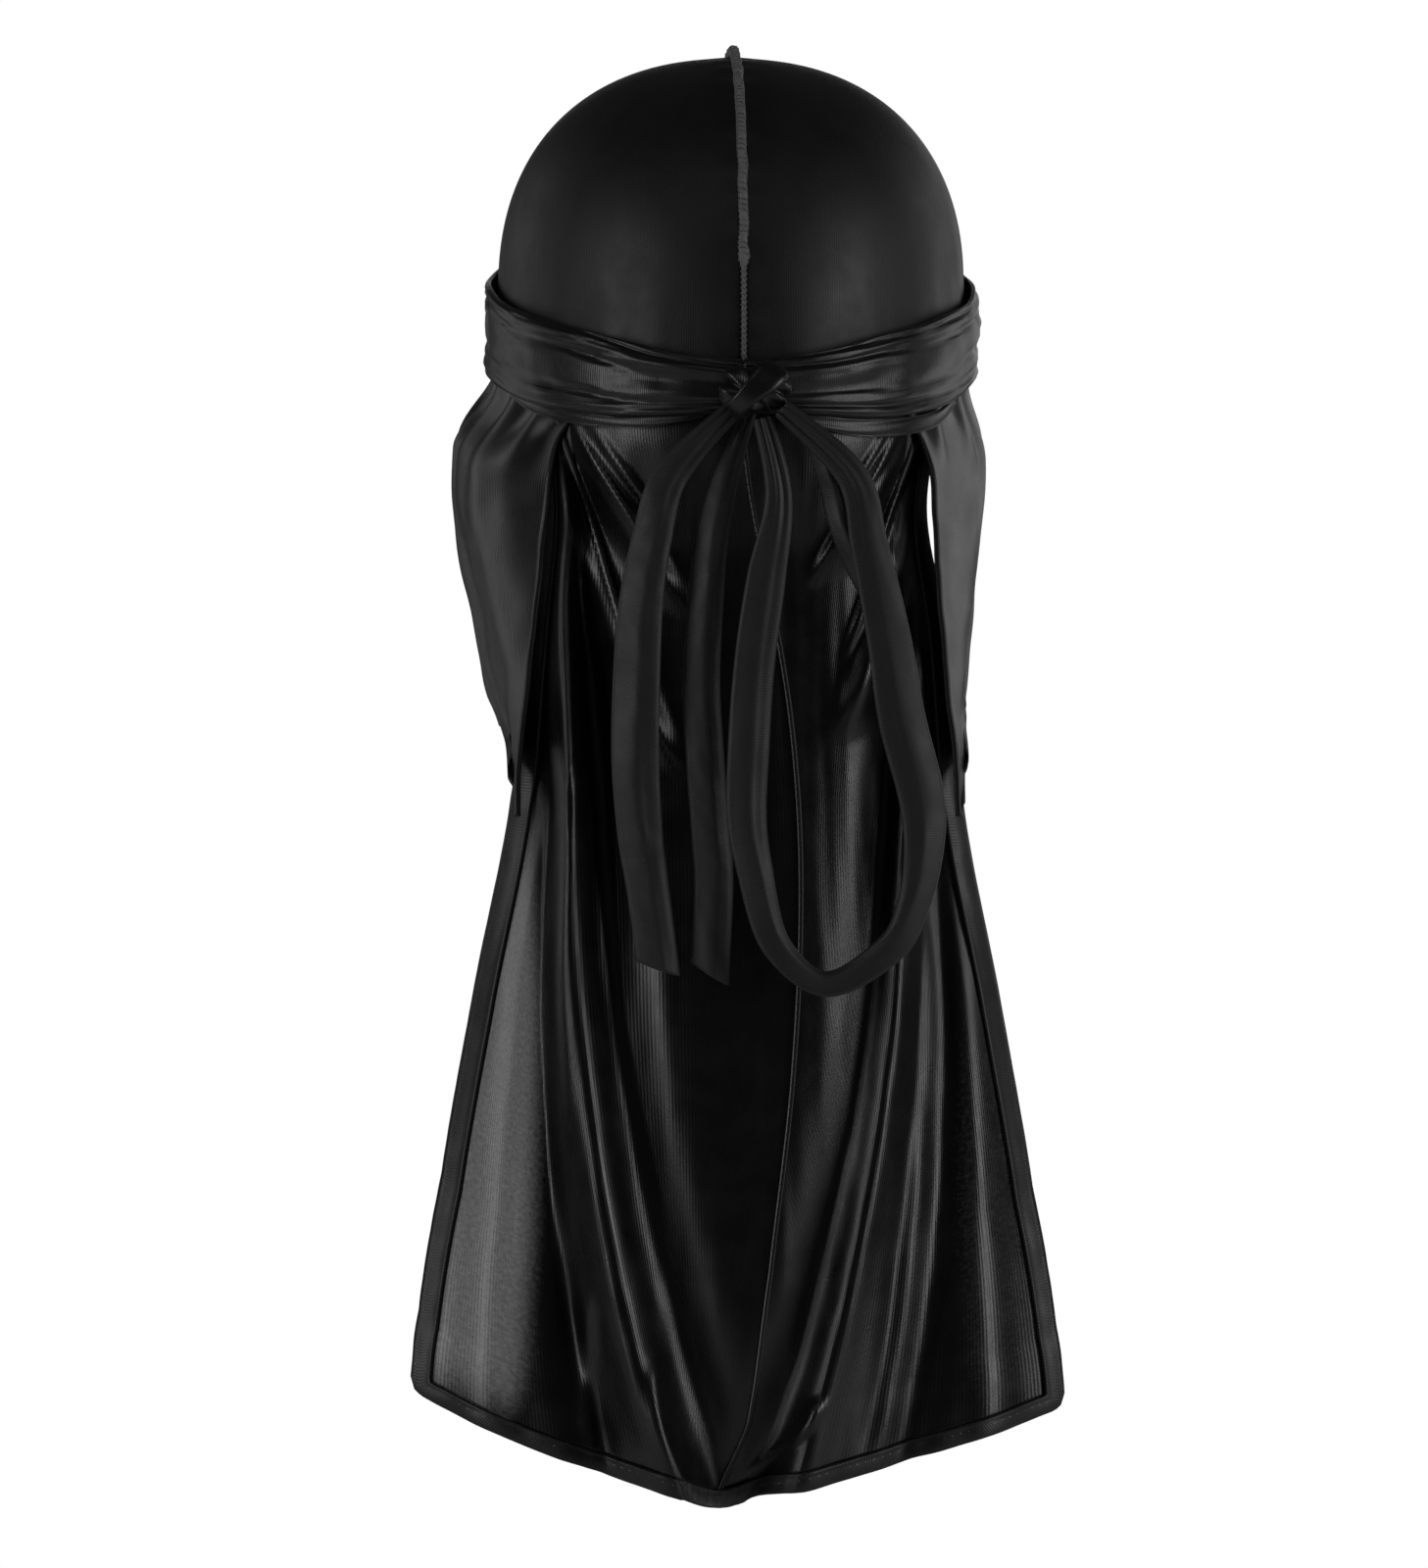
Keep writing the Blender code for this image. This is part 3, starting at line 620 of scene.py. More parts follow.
def wing_section(side, level):
    """The back edge, the side and the front edge of a wing at one level."""
    bulge = "left_x" if side == LEFT else "right_x"
    columns = (("back_x", "back_y"), (bulge, "side_y"), ("front_x", "front_y"))
    return [
        Vector(
            (
                side * HALF_WIDTH * from_rows(WING_ROWS, across, level),
                HALF_LENGTH * from_rows(WING_ROWS, along, level),
                0,
            )
        )
        for across, along in columns
    ]


def wing_point(side, share, level):
    """share runs from the wing's back edge to its front edge, level from band to tip."""
    back_angle = WING_BACK_ANGLE - WING_TURN_IN * hump(level, WING_TURN_IN_LEVELS)
    angle = between(back_angle, WING_FRONT_ANGLE, share)
    top = band_line(angle) - WING_TOP_DROP
    tip = band_line(0) - WING_DROP
    height = between(top, tip, level)
    held = head_point(side * angle, height, WING_OFFSET)
    back, out, front = wing_section(side, level)
    bend = out * 2 - (back + front) / 2
    hung = back * (1 - share) ** 2 + bend * 2 * share * (1 - share) + front * share**2
    hung.z = height
    below_band = top + WING_TOP_DROP - band_height(angle) / 2 - height
    return held.lerp(hung, eased(below_band / WING_LETTING_GO))


def fold_line(fold, level):
    """How far along a fold a level is, and where across the cape the fold lies there."""
    run = (level - fold.from_level) / (fold.to_level - fold.from_level)
    return run, between(fold.from_x, fold.to_x, run) + fold.bow * 4 * run * (1 - run)


def fold_total(folds, across, level):
    """How high some folds stand at a place together, as a share of FOLD_HEIGHT."""
    total = 0
    for fold in folds:
        run, line = fold_line(fold, level)
        past_start = (run + FOLD_RUN_OUT) / FOLD_RUN_OUT
        past_end = (1 + FOLD_RUN_OUT - run) / FOLD_RUN_OUT
        fade = eased(past_start) * eased(past_end)
        total += fold.height * fade * hump(across - line, fold.width)
    return total


def cape_half_width(level):
    """Half the cape's width at a level, from its place round the head to the hem's."""
    top = HALF_WIDTH * math.sin(CAPE_HALF_ANGLE)
    return between(top, CAPE_HEM_HALF_WIDTH, from_rows(CAPE_ROWS, "spread", level))


def cape_seam_across(level):
    """Where the centre seam runs at a level, as a share of the half width."""
    return from_rows(CAPE_ROWS, "seam", level)


def hem_height(across):
    """The hem's height: lowest at the seam's point, risen and rounded at the corners."""
    if across > 0:
        rise = CAPE_RISE_LEFT * across**CAPE_RISE_LEFT_POWER
    else:
        rise = CAPE_RISE_RIGHT * (-across) ** CAPE_RISE_RIGHT_POWER
    from_seam = (across - cape_seam_across(1)) * CAPE_HEM_HALF_WIDTH
    point = CAPE_POINT_DIP * hump(from_seam, CAPE_POINT_HALF_WIDTH)
    start = 1 - CAPE_CORNER_ROUND / CAPE_HEM_HALF_WIDTH
    past = max(0, (abs(across) - start) / (1 - start))
    corner = CAPE_CORNER_ROUND * (1 - math.sqrt(max(0, 1 - past**2)))
    return band_line(0) - CAPE_DROP + CAPE_POINT_DIP + rise - point + corner


def cape_point(across, level):
    """across is -1 at the right hem and 1 at the left one, level 0 at the band."""
    angle = across * CAPE_HALF_ANGLE
    top = band_line(angle) - GAP
    height = between(top, hem_height(across), level)
    held = head_point(angle, height, 0)
    side = HALF_LENGTH * from_rows(CAPE_ROWS, "side_y", level)
    middle = HALF_LENGTH * from_rows(CAPE_ROWS, "middle_y", level)
    plain = between(side, middle, 1 - abs(across) ** CAPE_BOW_POWER)
    from_edge = (1 - abs(across)) * CAPE_HEM_HALF_WIDTH
    edge_calm = 1 - EDGE_CALM * hump(from_edge, EDGE_CALM_WIDTH)
    out = plain + FOLD_HEIGHT * fold_total(FOLDS, across, level) * edge_calm
    hung = Vector((cape_half_width(level) * across, out, height))
    below_band = top - band_height(angle) / 2 - height
    return held.lerp(hung, eased(below_band / CAPE_LETTING_GO))


def side_share(length, level):
    """A length across the cape, as a share of its half width at a level."""
    return length / cape_half_width(level)


def cape_column(side, share, level, inner, outer):
    """A place across one panel, on threads that run along that panel's main fold."""
    fold = FOLDS[0] if side == LEFT else FOLDS[1]
    ridge = min(MAIN_FOLD_LIMIT, abs(fold_line(fold, max(level, fold.from_level))[1]))
    if share < 0.5:
        return between(inner, side * ridge, 2 * share)
    return between(side * ridge, outer, 2 * share - 1)


def hex_to_linear(code):
    """An sRGB hex colour, such as 1A1B1D, as linear red, green and blue."""
    channels = [int(code[at : at + 2], 16) / 255 for at in (0, 2, 4)]
    return tuple(c / 12.92 if c <= 0.04045 else ((c + 0.055) / 1.055) ** 2.4 for c in channels)


def set_inputs(node, values):
    """Sets a node's unlinked sockets by name."""
    for name, value in values.items():
        node.inputs[name].default_value = value


def add_node(tree, kind, settings=None, inputs=None, links=None):
    """Adds one node, sets its properties and sockets, and links sockets to other nodes."""
    node = tree.nodes.new("ShaderNode" + kind)
    for name, value in (settings or {}).items():
        setattr(node, name, value)
    set_inputs(node, inputs or {})
    for name, output in (links or {}).items():
        tree.links.new(output, node.inputs[name])
    return node


def noise_texture(tree, place, size, detail, roughness=0.5):
    inputs = {"Scale": 1 / size, "Detail": detail, "Roughness": roughness}
    return add_node(tree, "TexNoise", inputs=inputs, links={"Vector": place}).outputs["Fac"]


def map_range(tree, value, low, high, start=0, end=1):
    """Reads a value between start and end as one between low and high."""
    inputs = {"From Min": start, "From Max": end, "To Min": low, "To Max": high}
    return add_node(tree, "MapRange", inputs=inputs, links={"Value": value}).outputs["Result"]


def add_values(tree, first, second, clamp=False):
    settings = {"operation": "ADD", "use_clamp": clamp}
    node = add_node(tree, "Math", settings=settings, links={0: first, 1: second})
    return node.outputs["Value"]


def add_bump(tree, shader, height, strength, depth):
    inputs = {"Strength": strength, "Distance": depth}
    bump = add_node(tree, "Bump", inputs=inputs, links={"Height": height})
    tree.links.new(bump.outputs["Normal"], shader.inputs["Normal"])


def new_material(name, inputs):
    """A material with its tree and its shader, whose plain inputs are set."""
    made = bpy.data.materials.new(name)
    made.use_nodes = True
    shader = made.node_tree.nodes["Principled BSDF"]
    set_inputs(shader, inputs)
    return made, made.node_tree, shader


def woven_material(name, colour, roughness, sheen, thread_pitch, weave_depth, coordinates="UV"):
    """Polyester satin: long floats on the face give it a soft, wide gloss across the
    threads, and the weave shows only as a faint grain. Real threads lie about 0.15 mm
    apart, too fine for a picture, so thread_pitch is drawn coarser."""
    plain = {
        "Metallic": 0,
        "IOR": POLYESTER_IOR,
        "Specular IOR Level": 0.5,
        "Sheen Weight": sheen,
        "Sheen Roughness": 0.45,
        "Sheen Tint": (*hex_to_linear("C9CCD2"), 1),
    }
    made, tree, shader = new_material(name, plain)
    place = add_node(tree, "TexCoord").outputs[coordinates]
    mottle = noise_texture(tree, place, MOTTLE_SIZE, 3, 0.55)
    dark = hex_to_linear(colour)
    light = tuple(min(1, channel * MOTTLE_LIFT) for channel in dark)
    shade = add_node(
        tree,
        "Mix",
        settings={"data_type": "RGBA"},
        inputs={"A": (*dark, 1), "B": (*light, 1)},
        links={"Factor": mottle},
    )
    tree.links.new(shade.outputs["Result"], shader.inputs["Base Color"])
    gloss = map_range(tree, mottle, roughness - GLOSS_GAIN, roughness + GLOSS_LOSS, *NOISE_RANGE)
    tree.links.new(gloss, shader.inputs["Roughness"])
    scale = WAVE_SCALE / thread_pitch
    warp = add_node(
        tree,
        "TexWave",
        settings={"wave_type": "BANDS", "bands_direction": "X"},
        inputs={"Scale": scale, "Distortion": 1.5, "Detail": 2, "Detail Scale": 3},
        links={"Vector": place},
    )
    grain = noise_texture(tree, place, GRAIN_SIZE, 2)
    add_bump(tree, shader, add_values(tree, warp.outputs["Fac"], grain), 0.5, weave_depth)
    return made


def sheer_material(name, *satin):
    """The same satin in one layer: light comes through between its threads where it
    hangs flat, and hardly any where it is gathered. The gathered attribute says where."""
    made = woven_material(name, *satin)
    tree = made.node_tree
    gathered = add_node(tree, "Attribute", settings={"attribute_name": "gathered"})
    place = add_node(tree, "TexCoord").outputs["UV"]
    slub = noise_texture(tree, place, SLUB_SIZE, 4, 0.7)
    uneven = map_range(tree, slub, -SLUB_SPREAD, SLUB_SPREAD, *NOISE_RANGE)
    cover = map_range(tree, gathered.outputs["Fac"], SHEER_ALPHA, GATHERED_ALPHA)
    shader = tree.nodes["Principled BSDF"]
    tree.links.new(add_values(tree, cover, uneven, clamp=True), shader.inputs["Alpha"])
    return made


def thread_material(name, colour):
    """Spun polyester sewing thread: matt, with a fine twist that breaks its edge."""
    plain = {
        "Base Color": (*hex_to_linear(colour), 1),
        "Roughness": 0.62,
        "IOR": POLYESTER_IOR,
        "Sheen Weight": 0.25,
        "Sheen Roughness": 0.5,
    }
    made, tree, shader = new_material(name, plain)
    twist = add_node(
        tree,
        "TexWave",
        settings={"wave_type": "BANDS", "bands_direction": "DIAGONAL"},
        inputs={"Scale": WAVE_SCALE / THREAD_TWIST},
        links={"Vector": add_node(tree, "TexCoord").outputs["UV"]},
    )
    add_bump(tree, shader, twist.outputs["Fac"], 0.6, 0.0001)
    return made


def material(name):
    """The finished material of that name, made on first use."""
    if name in bpy.data.materials:
        return bpy.data.materials[name]
    looks = bpy.context.scene.durag_finish
    if name == "spun_polyester_thread":
        return thread_material(name, looks.thread_colour)
    rough = looks.roughness
    sheen = looks.sheen
    # Colour, roughness, sheen, the pitch of the threads and the depth of the weave.
    satins = {
        "woven_crown_satin": (looks.crown_colour, rough + 0.14, sheen, SATIN_PITCH, 0.00004, "Object"),
        "woven_tie_satin": (looks.tie_colour, rough - 0.05, sheen, SATIN_PITCH, 0.00006),
        "woven_strap_satin": (looks.strap_colour, 0.54, 0.13, SATIN_PITCH, 0.00006),
        "sheer_cape_satin": (looks.cape_colour, rough - 0.07, sheen / 2, CAPE_PITCH, 0.00006),
        "doubled_cape_satin": (looks.cape_colour, rough + 0.05, sheen, CAPE_PITCH, 0.00008),
    }
    make = sheer_material if name == "sheer_cape_satin" else woven_material
    return make(name, *satins[name])


def grid_net(columns, rows, place, size, merge=True):
    """A grid put where place(across, down) says, with its UV map in metres of cloth."""
    net = bmesh.new()
    bmesh.ops.create_grid(net, x_segments=columns, y_segments=rows, size=0.5, calc_uvs=False)
    chart = net.loops.layers.uv.new("cloth")
    for face in net.faces:
        for loop in face.loops:
            corner = loop.vert.co
            loop[chart].uv = ((corner.x + 0.5) * size[0], (corner.y + 0.5) * size[1])
    for corner in net.verts:
        corner.co = place(corner.co.x + 0.5, corner.co.y + 0.5)
    if merge:
        bmesh.ops.remove_doubles(net, verts=net.verts, dist=0.000002)
    return net


def mark_gathered(net, columns, rows, closeness):
    """Writes closeness(across, down) at each corner of a grid, for the sheer finish."""
    density = net.verts.layers.float.new("gathered")
    for number, corner in enumerate(net.verts):
        down, across = divmod(number, columns + 1)
        corner[density] = closeness(across / columns, down / rows)


def finish_piece(net, name, look, wall=0):
    """Makes the object, smooth, with its finish and its cloth's wall, on the body."""
    shape = bpy.data.meshes.new(name)
    net.to_mesh(shape)
    net.free()
    shape.shade_smooth()
    shape.materials.append(material(look))
    piece = bpy.data.objects.new(name, shape)
    bpy.context.scene.collection.objects.link(piece)
    if wall:
        thicken = piece.modifiers.new("cloth", "SOLIDIFY")
        thicken.thickness = wall
        thicken.offset = 1
        thicken.use_even_offset = False
    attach(piece, "root")
    return piece


def closed_tube(name, steps, ring, place, size, look):
    """A closed body whose section runs round and whose ends are filled."""
    net = grid_net(steps, ring, place, size)
    bmesh.ops.holes_fill(net, edges=net.edges)
    bmesh.ops.recalc_face_normals(net, faces=net.faces)
    return finish_piece(net, name, look)


def directions(read, across, level, step):
    """The way across and the way down a surface at a place, not yet of length 1."""
    beside = read(across + step, level) - read(across - step, level)
    below = read(across, level + step) - read(across, level - step)
    return beside, below


def wander(*place):
    """Smooth unevenness between -1 and 1, the same every time."""
    return noise.noise(Vector((*place, 0, 0, 0)[:3]))


def make_crown_panel(side):
    """Half of the crown: a dome cut at the seam and the band, with the seam's puckers
    and the faint drag lines above the tie."""
    sizes = bpy.context.scene.durag_sizes
    net = bmesh.new()
    bmesh.ops.create_uvsphere(net, u_segments=CROWN_COLUMNS, v_segments=CROWN_RINGS, radius=1)
    lowest = BAND_DROP + BAND_TILT + BAND_HEIGHT
    foot = [corner for corner in net.verts if corner.co.z < -0.9999]
    for corner in net.verts:
        round_share = math.acos(max(-1, min(1, corner.co.z))) / math.pi
        angle = math.atan2(corner.co.x, corner.co.y)
        corner.co = head_point(angle, -lowest * round_share**2, 0)
    bmesh.ops.delete(net, geom=foot, context="VERTS")
    slope = Vector((0, BAND_TILT / HALF_LENGTH, 1))
    cut_away(net, Vector((0, 0, -BAND_DROP)), -slope)
    cut_away(net, Vector((side * GAP / 2, 0, 0)), Vector((-side, 0, 0)))
    bmesh.ops.recalc_face_normals(net, faces=net.faces)
    net.normal_update()
    for corner in net.verts:
        along = math.atan2(corner.co.z + HALF_LENGTH, corner.co.y)
        tug = wander(along * 9, side) + 0.8 * math.sin(along * PUCKERS + 2 * wander(along * 6))
        pucker = sizes.pucker * tug * hump(abs(corner.co.x), PUCKER_REACH)
        angle = math.atan2(corner.co.x, corner.co.y)
        above = corner.co.z - band_line(angle) - band_height(angle) / 2
        drag = DRAG_HEIGHT * wander(angle * 7, above * 14) * hump(max(0, above), DRAG_REACH)
        corner.co += corner.normal * max(0, pucker + drag + PUCKER_REST)
    name = sided("satin_crown", side)
    piece = finish_piece(net, name, "woven_crown_satin", wall=sizes.cloth_wall)
    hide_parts(sided("crown", side))


def cut_away(net, point, towards):
    """Cuts the mesh at a plane and drops what lies on the side it faces."""
    geometry = [*net.verts, *net.edges, *net.faces]
    bmesh.ops.bisect_plane(
        net, geom=geometry, plane_co=point, plane_no=towards, clear_outer=True, dist=0.00001
    )


def ridge_reader(count):
    """The crown's middle line as a smooth reading: point, direction and outward."""
    line = crown_ridge_line(count)

    def read(along):
        at = min(max(along, 0), 1) * count
        start = min(int(at), count - 1)
        point = line[start][0].lerp(line[start + 1][0], at - start)
        direction = line[start][1].lerp(line[start + 1][1], at - start).normalized()
        return point, direction, Vector((0, -direction.z, direction.y))

    return read


def seam_section(point):
    """The ridge's width and height at a point: tall, then a flat end above the knot."""
    past = point.y > 0
    ended = eased((-point.z - SEAM_STEP_DEPTH + SEAM_STEP_RUN) / SEAM_STEP_RUN) if past else 0
    bump = hump(point.z + SEAM_STEP_DEPTH - SEAM_STEP_RUN / 2, SEAM_KNOT_RUN) if past else 0
    width = between(SEAM_WIDTH, SEAM_END_WIDTH, ended) + SEAM_KNOT_SIZE * bump
    height = between(SEAM_HEIGHT, SEAM_END_HEIGHT, ended) + SEAM_KNOT_SIZE * bump
    return width, height, ended


def make_crown_seam():
    """The two panels' edges, folded outward into a ridge and overlocked together."""
    read = ridge_reader(CROWN_LINE_POINTS)

    def ridge(along, around):
        point, direction, outward = read(along)
        width, height, ended = seam_section(point)
        turn = 2 * math.pi * around
        lean = RIDGE_LEAN * wander(along * 40) * (1 - ended)
        uneven = 1 + RIDGE_UNEVEN * wander(along * 160, 3) * (1 - ended)
        lift = height * uneven / 2 * (1 - squared_cosine(turn))
        aside = width / 2 * squared_cosine(turn - math.pi / 2) + lean * lift / height
        return point + outward * (CLOTH + GAP / 2 + lift) + Vector((aside, 0, 0))

    thread = "spun_polyester_thread"
    body = closed_tube("crown_ridge", 420, 14, ridge, (0.34, 0.012), thread)
    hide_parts("crown_seam")

    def overlock(along, around):
        return wound_thread(read, along, along * RIDGE_STITCHES, around)

    steps = RIDGE_STITCHES * 12
    closed_tube("overlock_thread", steps, THREAD_SIDES, overlock, (2.4, 0.0012), thread)


def wound_thread(read, along, turns, around):
    """A thread wound round the ridge, leaning forward over its top."""
    point, direction, outward = read(along)
    width, height, ended = seam_section(point)
    wide = width / 2 + STITCH_THREAD * 0.4
    tall = height / 2 + STITCH_THREAD * 0.4
    turn = 2 * math.pi * turns
    lean = RIDGE_LEAN * wander(along * 40) * (1 - ended)
    loose = 1 + STITCH_LOOSENESS * wander(along * 220, 5)
    lift = tall * (1 - squared_cosine(turn))
    centre = point + outward * (CLOTH + GAP / 2 + lift * loose)
    aside = wide * loose * squared_cosine(turn - math.pi / 2) + lean * lift / height
    centre += Vector((aside, 0, 0))
    centre += direction * STITCH_SLANT * math.cos(turn)
    side = Vector((math.cos(turn - math.pi / 2), 0, 0)) - outward * math.sin(turn - math.pi / 2)
    ring = 2 * math.pi * around
    return centre + (side * math.cos(ring) + direction * math.sin(ring)) * STITCH_THREAD / 2


def layered_pleats(height_share, angle):
    """How far the tie's folded layers stand out, 0 to 1. The layers are soft rolls with
    sharp valleys between them, which slide across the band as they go round."""
    count = BAND_ROLLS + 1.1 * math.sin(angle + 2.6)
    place = (height_share * 0.5 + 0.5) * count + 0.35 * wander(angle * 2.1, 4)
    part = place - math.floor(place)
    size = 0.72 + 0.5 * wander(math.floor(place) * 7.3, 9, 1)
    fine = (place * 2.6 + 0.6 * wander(angle * 2.7, 8)) % 1
    return size * math.sin(math.pi * part) ** 0.55 + 0.22 * math.sin(math.pi * fine) ** 0.6


def make_tie_band():
    """The tie as it lies round the head: wide folded layers drawn together at the knot."""
    sizes = bpy.context.scene.durag_sizes

    def place(along, around):
        angle = 2 * math.pi * along
        turned = math.atan2(math.sin(angle), math.cos(angle))
        turn = 2 * math.pi * around
        bulk = BAND_THICKNESS + BAND_BULK_AT_KNOT * hump(turned, BAND_THICKENS_WITHIN)
        edge_wave = 1 + BAND_EDGE_WAVE * wander(angle * 3.1, 7)
        up = band_height(angle) / 2 * squared_cosine(turn) * edge_wave
        outside = max(0, math.sin(turn))
        out = bulk / 2 * (1 + squared_cosine(turn - math.pi / 2))
        out += sizes.pleat * layered_pleats(math.cos(turn), angle) * outside**0.5
        out += BAND_RIPPLE * wander(angle * 9, math.cos(turn) * 3) * outside
        out += BAND_STREAK * wander(angle * 2.4, math.cos(turn) * 6 + angle, 5) * outside
        point = head_point(angle, band_line(angle), BAND_OFFSET + out)
        return point + Vector((0, 0, up))

    band = closed_tube("pleated_tie_band", 460, 88, place, (0.60, 0.066), "woven_tie_satin")
    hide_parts("tie_band")
    for side, rows in ((RIGHT, LOWER_WRAP_RIGHT), (LEFT, LOWER_WRAP_LEFT)):
        make_lower_wrap(side, rows)


def make_lower_wrap(side, rows):
    """A narrow layer of the other strap that shows below the band beside the knot."""

    def place(along, around):
        angle = side * math.radians(from_rows(rows, "angle", along))
        drop = from_rows(rows, "drop", along) * BAND_HEIGHT
        half = from_rows(rows, "half_height", along) * BAND_HEIGHT
        turn = 2 * math.pi * around
        ripple = WRAP_RIPPLE * math.cos(5 * turn + 9 * along)
        out = WRAP_THICKNESS / 2 * (1 + squared_cosine(turn - math.pi / 2)) + ripple
        height = band_line(angle) - drop + half * squared_cosine(turn)
        return head_point(angle, height, BAND_OFFSET + out)

    name = sided("tie_under_wrap", side)
    wrap = closed_tube(name, 90, 22, place, (0.09, 0.016), "woven_tie_satin")


def make_tie_knot():
    """A plump half-bow knot: strands that wrap slantwise, with deep creases between."""
    net = bmesh.new()
    bmesh.ops.create_uvsphere(net, u_segments=112, v_segments=72, radius=1)
    middle = knot_middle() - Vector((0, 0, KNOT_SETTLED))
    half = Vector((KNOT_WIDTH * KNOT_NARROWED, KNOT_DEPTH, KNOT_HEIGHT * KNOT_DRAWN_IN)) / 2
    for corner in net.verts:
        x, y, z = corner.co
        slant = x * math.cos(KNOT_CREASE_SLANT) - z * math.sin(KNOT_CREASE_SLANT)
        pinch = 1
        for place in (-KNOT_CREASE_PLACE, KNOT_CREASE_PLACE):
            beside = slant - place - 0.12 * math.sin(3 * z)
            pinch -= KNOT_CREASE * hump(beside, KNOT_CREASE_SPREAD)
        pinch += KNOT_LUMPS * wander(slant * 2.6, z * 1.6, y)
        pinch -= KNOT_FINE_CREASE * abs(math.sin(9 * slant + 2 * z))
        corner.co = middle + Vector((x * half.x, y * half.y, z * half.z)) * pinch
    bmesh.ops.recalc_face_normals(net, faces=net.faces)
    chart = net.loops.layers.uv.new("cloth")
    for face in net.faces:
        for loop in face.loops:
            loop[chart].uv = (loop.vert.co.x, loop.vert.co.z)
    knot = finish_piece(net, "wrapped_knot", "woven_tie_satin")
    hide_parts("tie_knot")

    def wrap(along, around):
        turn = 2 * math.pi * along
        slant = KNOT_CREASE_SLANT + math.pi / 2
        level = math.cos(turn)
        radial = Vector((level * math.cos(slant), math.sin(turn), level * math.sin(slant)))
        across = Vector((-math.sin(slant), 0, math.cos(slant)))
        reach = half * WRAP_OVER_KNOT
        ring = 2 * math.pi * around
        roll = 1 + 0.55 * abs(math.sin(1.5 * ring + 0.4 * math.sin(turn)))
        thick = radial * (WRAP_THICKNESS * 0.6 * math.sin(ring) * roll)
        swelling = 1 + 0.2 * math.sin(turn * 2)
        wide = across * (KNOT_WRAP_WIDTH / 2 * squared_cosine(ring) * swelling)
        return middle + Vector(a * b for a, b in zip(radial, reach)) + thick + wide

    closed_tube("knot_over_wrap", 96, 28, wrap, (0.06, 0.014), "woven_tie_satin")


def make_ribbon(name, rows, stations, node, flat, both_ends=False, twist=0.18, phase=0.0):
    """A satin strap folded in two lengthwise: a soft lens with a crease along it, rolled
    edges and a slow twist."""
    points, widths = strap_route(rows, both_ends)
    last = len(points) - 1

    def at(values, share):
        start = min(int(share * last), last - 1)
        near = [values[min(max(start + k, 0), last)] for k in (-1, 0, 1, 2)]
        return smooth_step_through(near, share * last - start)

    def place(along, around):
        ahead = at(points, min(1, along + STRAP_READING_STEP))
        ahead -= at(points, max(0, along - STRAP_READING_STEP))
        across = ahead.cross(OUT_BACK).normalized()
        turn = 2 * math.pi * around
        free = math.sin(math.pi * along) if both_ends else eased(along * 3)
        roll = twist * free * math.sin(5 * along + phase)
        if both_ends:
            roll += LOOP_TWIST * hump(along - LOOP_TWIST_PLACE, LOOP_TWIST_RUN)
        flank = math.cos(turn)
        crease = 1 - STRAP_CREASE * hump(flank - STRAP_CREASE_PLACE, 0.16)
        edge = STRAP_EDGE_ROLL * hump(abs(flank) - 0.90, 0.09)
        thick = STRAP_THICKNESS / 2 * math.sin(turn) * (crease + edge)
        thick += STRAP_UNEVEN * wander(along * 26, flank * 1.5, phase)
        gather = 1 - eased(along * 9) * (eased((1 - along) * 9) if both_ends else 1)
        thick += STRAP_GATHER * gather * math.sin(turn) * math.cos(3 * math.pi * flank)
        side = across * math.cos(roll) + OUT_BACK * math.sin(roll)
        face = OUT_BACK * math.cos(roll) - across * math.sin(roll)
        bent = STRAP_WAVE * wander(along * 7, phase, 2)
        fold_place = 0.30 + 0.35 * wander(along * 5, phase, 6)
        bent += STRAP_BEND * free * (1 - (abs(flank + fold_place) ** 2 + 0.05) ** 0.5 / 1.3)
        slant = 0 if both_ends else STRAP_END_SLANT * (flank + 1) / 2
        middle = at(points, along * (1 - slant))
        return middle + side * (at(widths, along) / 2 * flank) + face * (thick + bent)

    ribbon = closed_tube(name, stations, 40, place, (flat[1], 2 * flat[0]), "woven_strap_satin")
    if node:
        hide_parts(node)


def make_straps():
    """The bow's loop, its inner fold and the two tails."""
    wide_flat = (0.0165, 0.205)
    narrow_flat = (0.0130, 0.205)
    fold_flat = (0.0100, 0.080)
    make_ribbon(
        "bow_loop_ribbon", LOOP_RIBBON, 300, "tie_loop", (0.0165, 0.39), both_ends=True, phase=0.7
    )
    make_ribbon("tail_ribbon_outer", TAIL_OUTER, 170, "tie_tail_outer", wide_flat, phase=2.1)
    make_ribbon("tail_ribbon_inner", TAIL_INNER, 170, "tie_tail_inner", narrow_flat, phase=4.0)
    make_ribbon("loop_inner_fold", LOOP_INNER_FOLD, 80, None, fold_flat, phase=1.2, twist=0.05)


def wing_gather(side, share, level):
    """How closely the wing's cloth is gathered at a place, 0 to 1."""
    near_band = hump(level, 0.16)
    edges = hump(share, 0.06)
    fold = 0.4 * hump(share - 0.42 - 0.2 * level, 0.10)
    slack = WING_CLOSENESS[side]
    return min(1, slack + (1 - slack) * (near_band + edges + fold))


def wing_folds(side, share, level):
    """Small folds on the wing: gathers below the band that fan out and fade."""
    fan = math.sin(share * 34 + 5 * level + 3 * wander(share * 5, level * 2, side))
    gathers = WING_GATHERS * fan * hump(level - 0.10, 0.13)
    wave = math.sin(share * 11 + 4 * level + side)
    long_fold = WING_LONG_FOLD * wave * eased(level * 3) * (1 - level * 0.5)
    return gathers + long_fold + WING_UNEVEN * wander(share * 7, level * 9, side * 3)


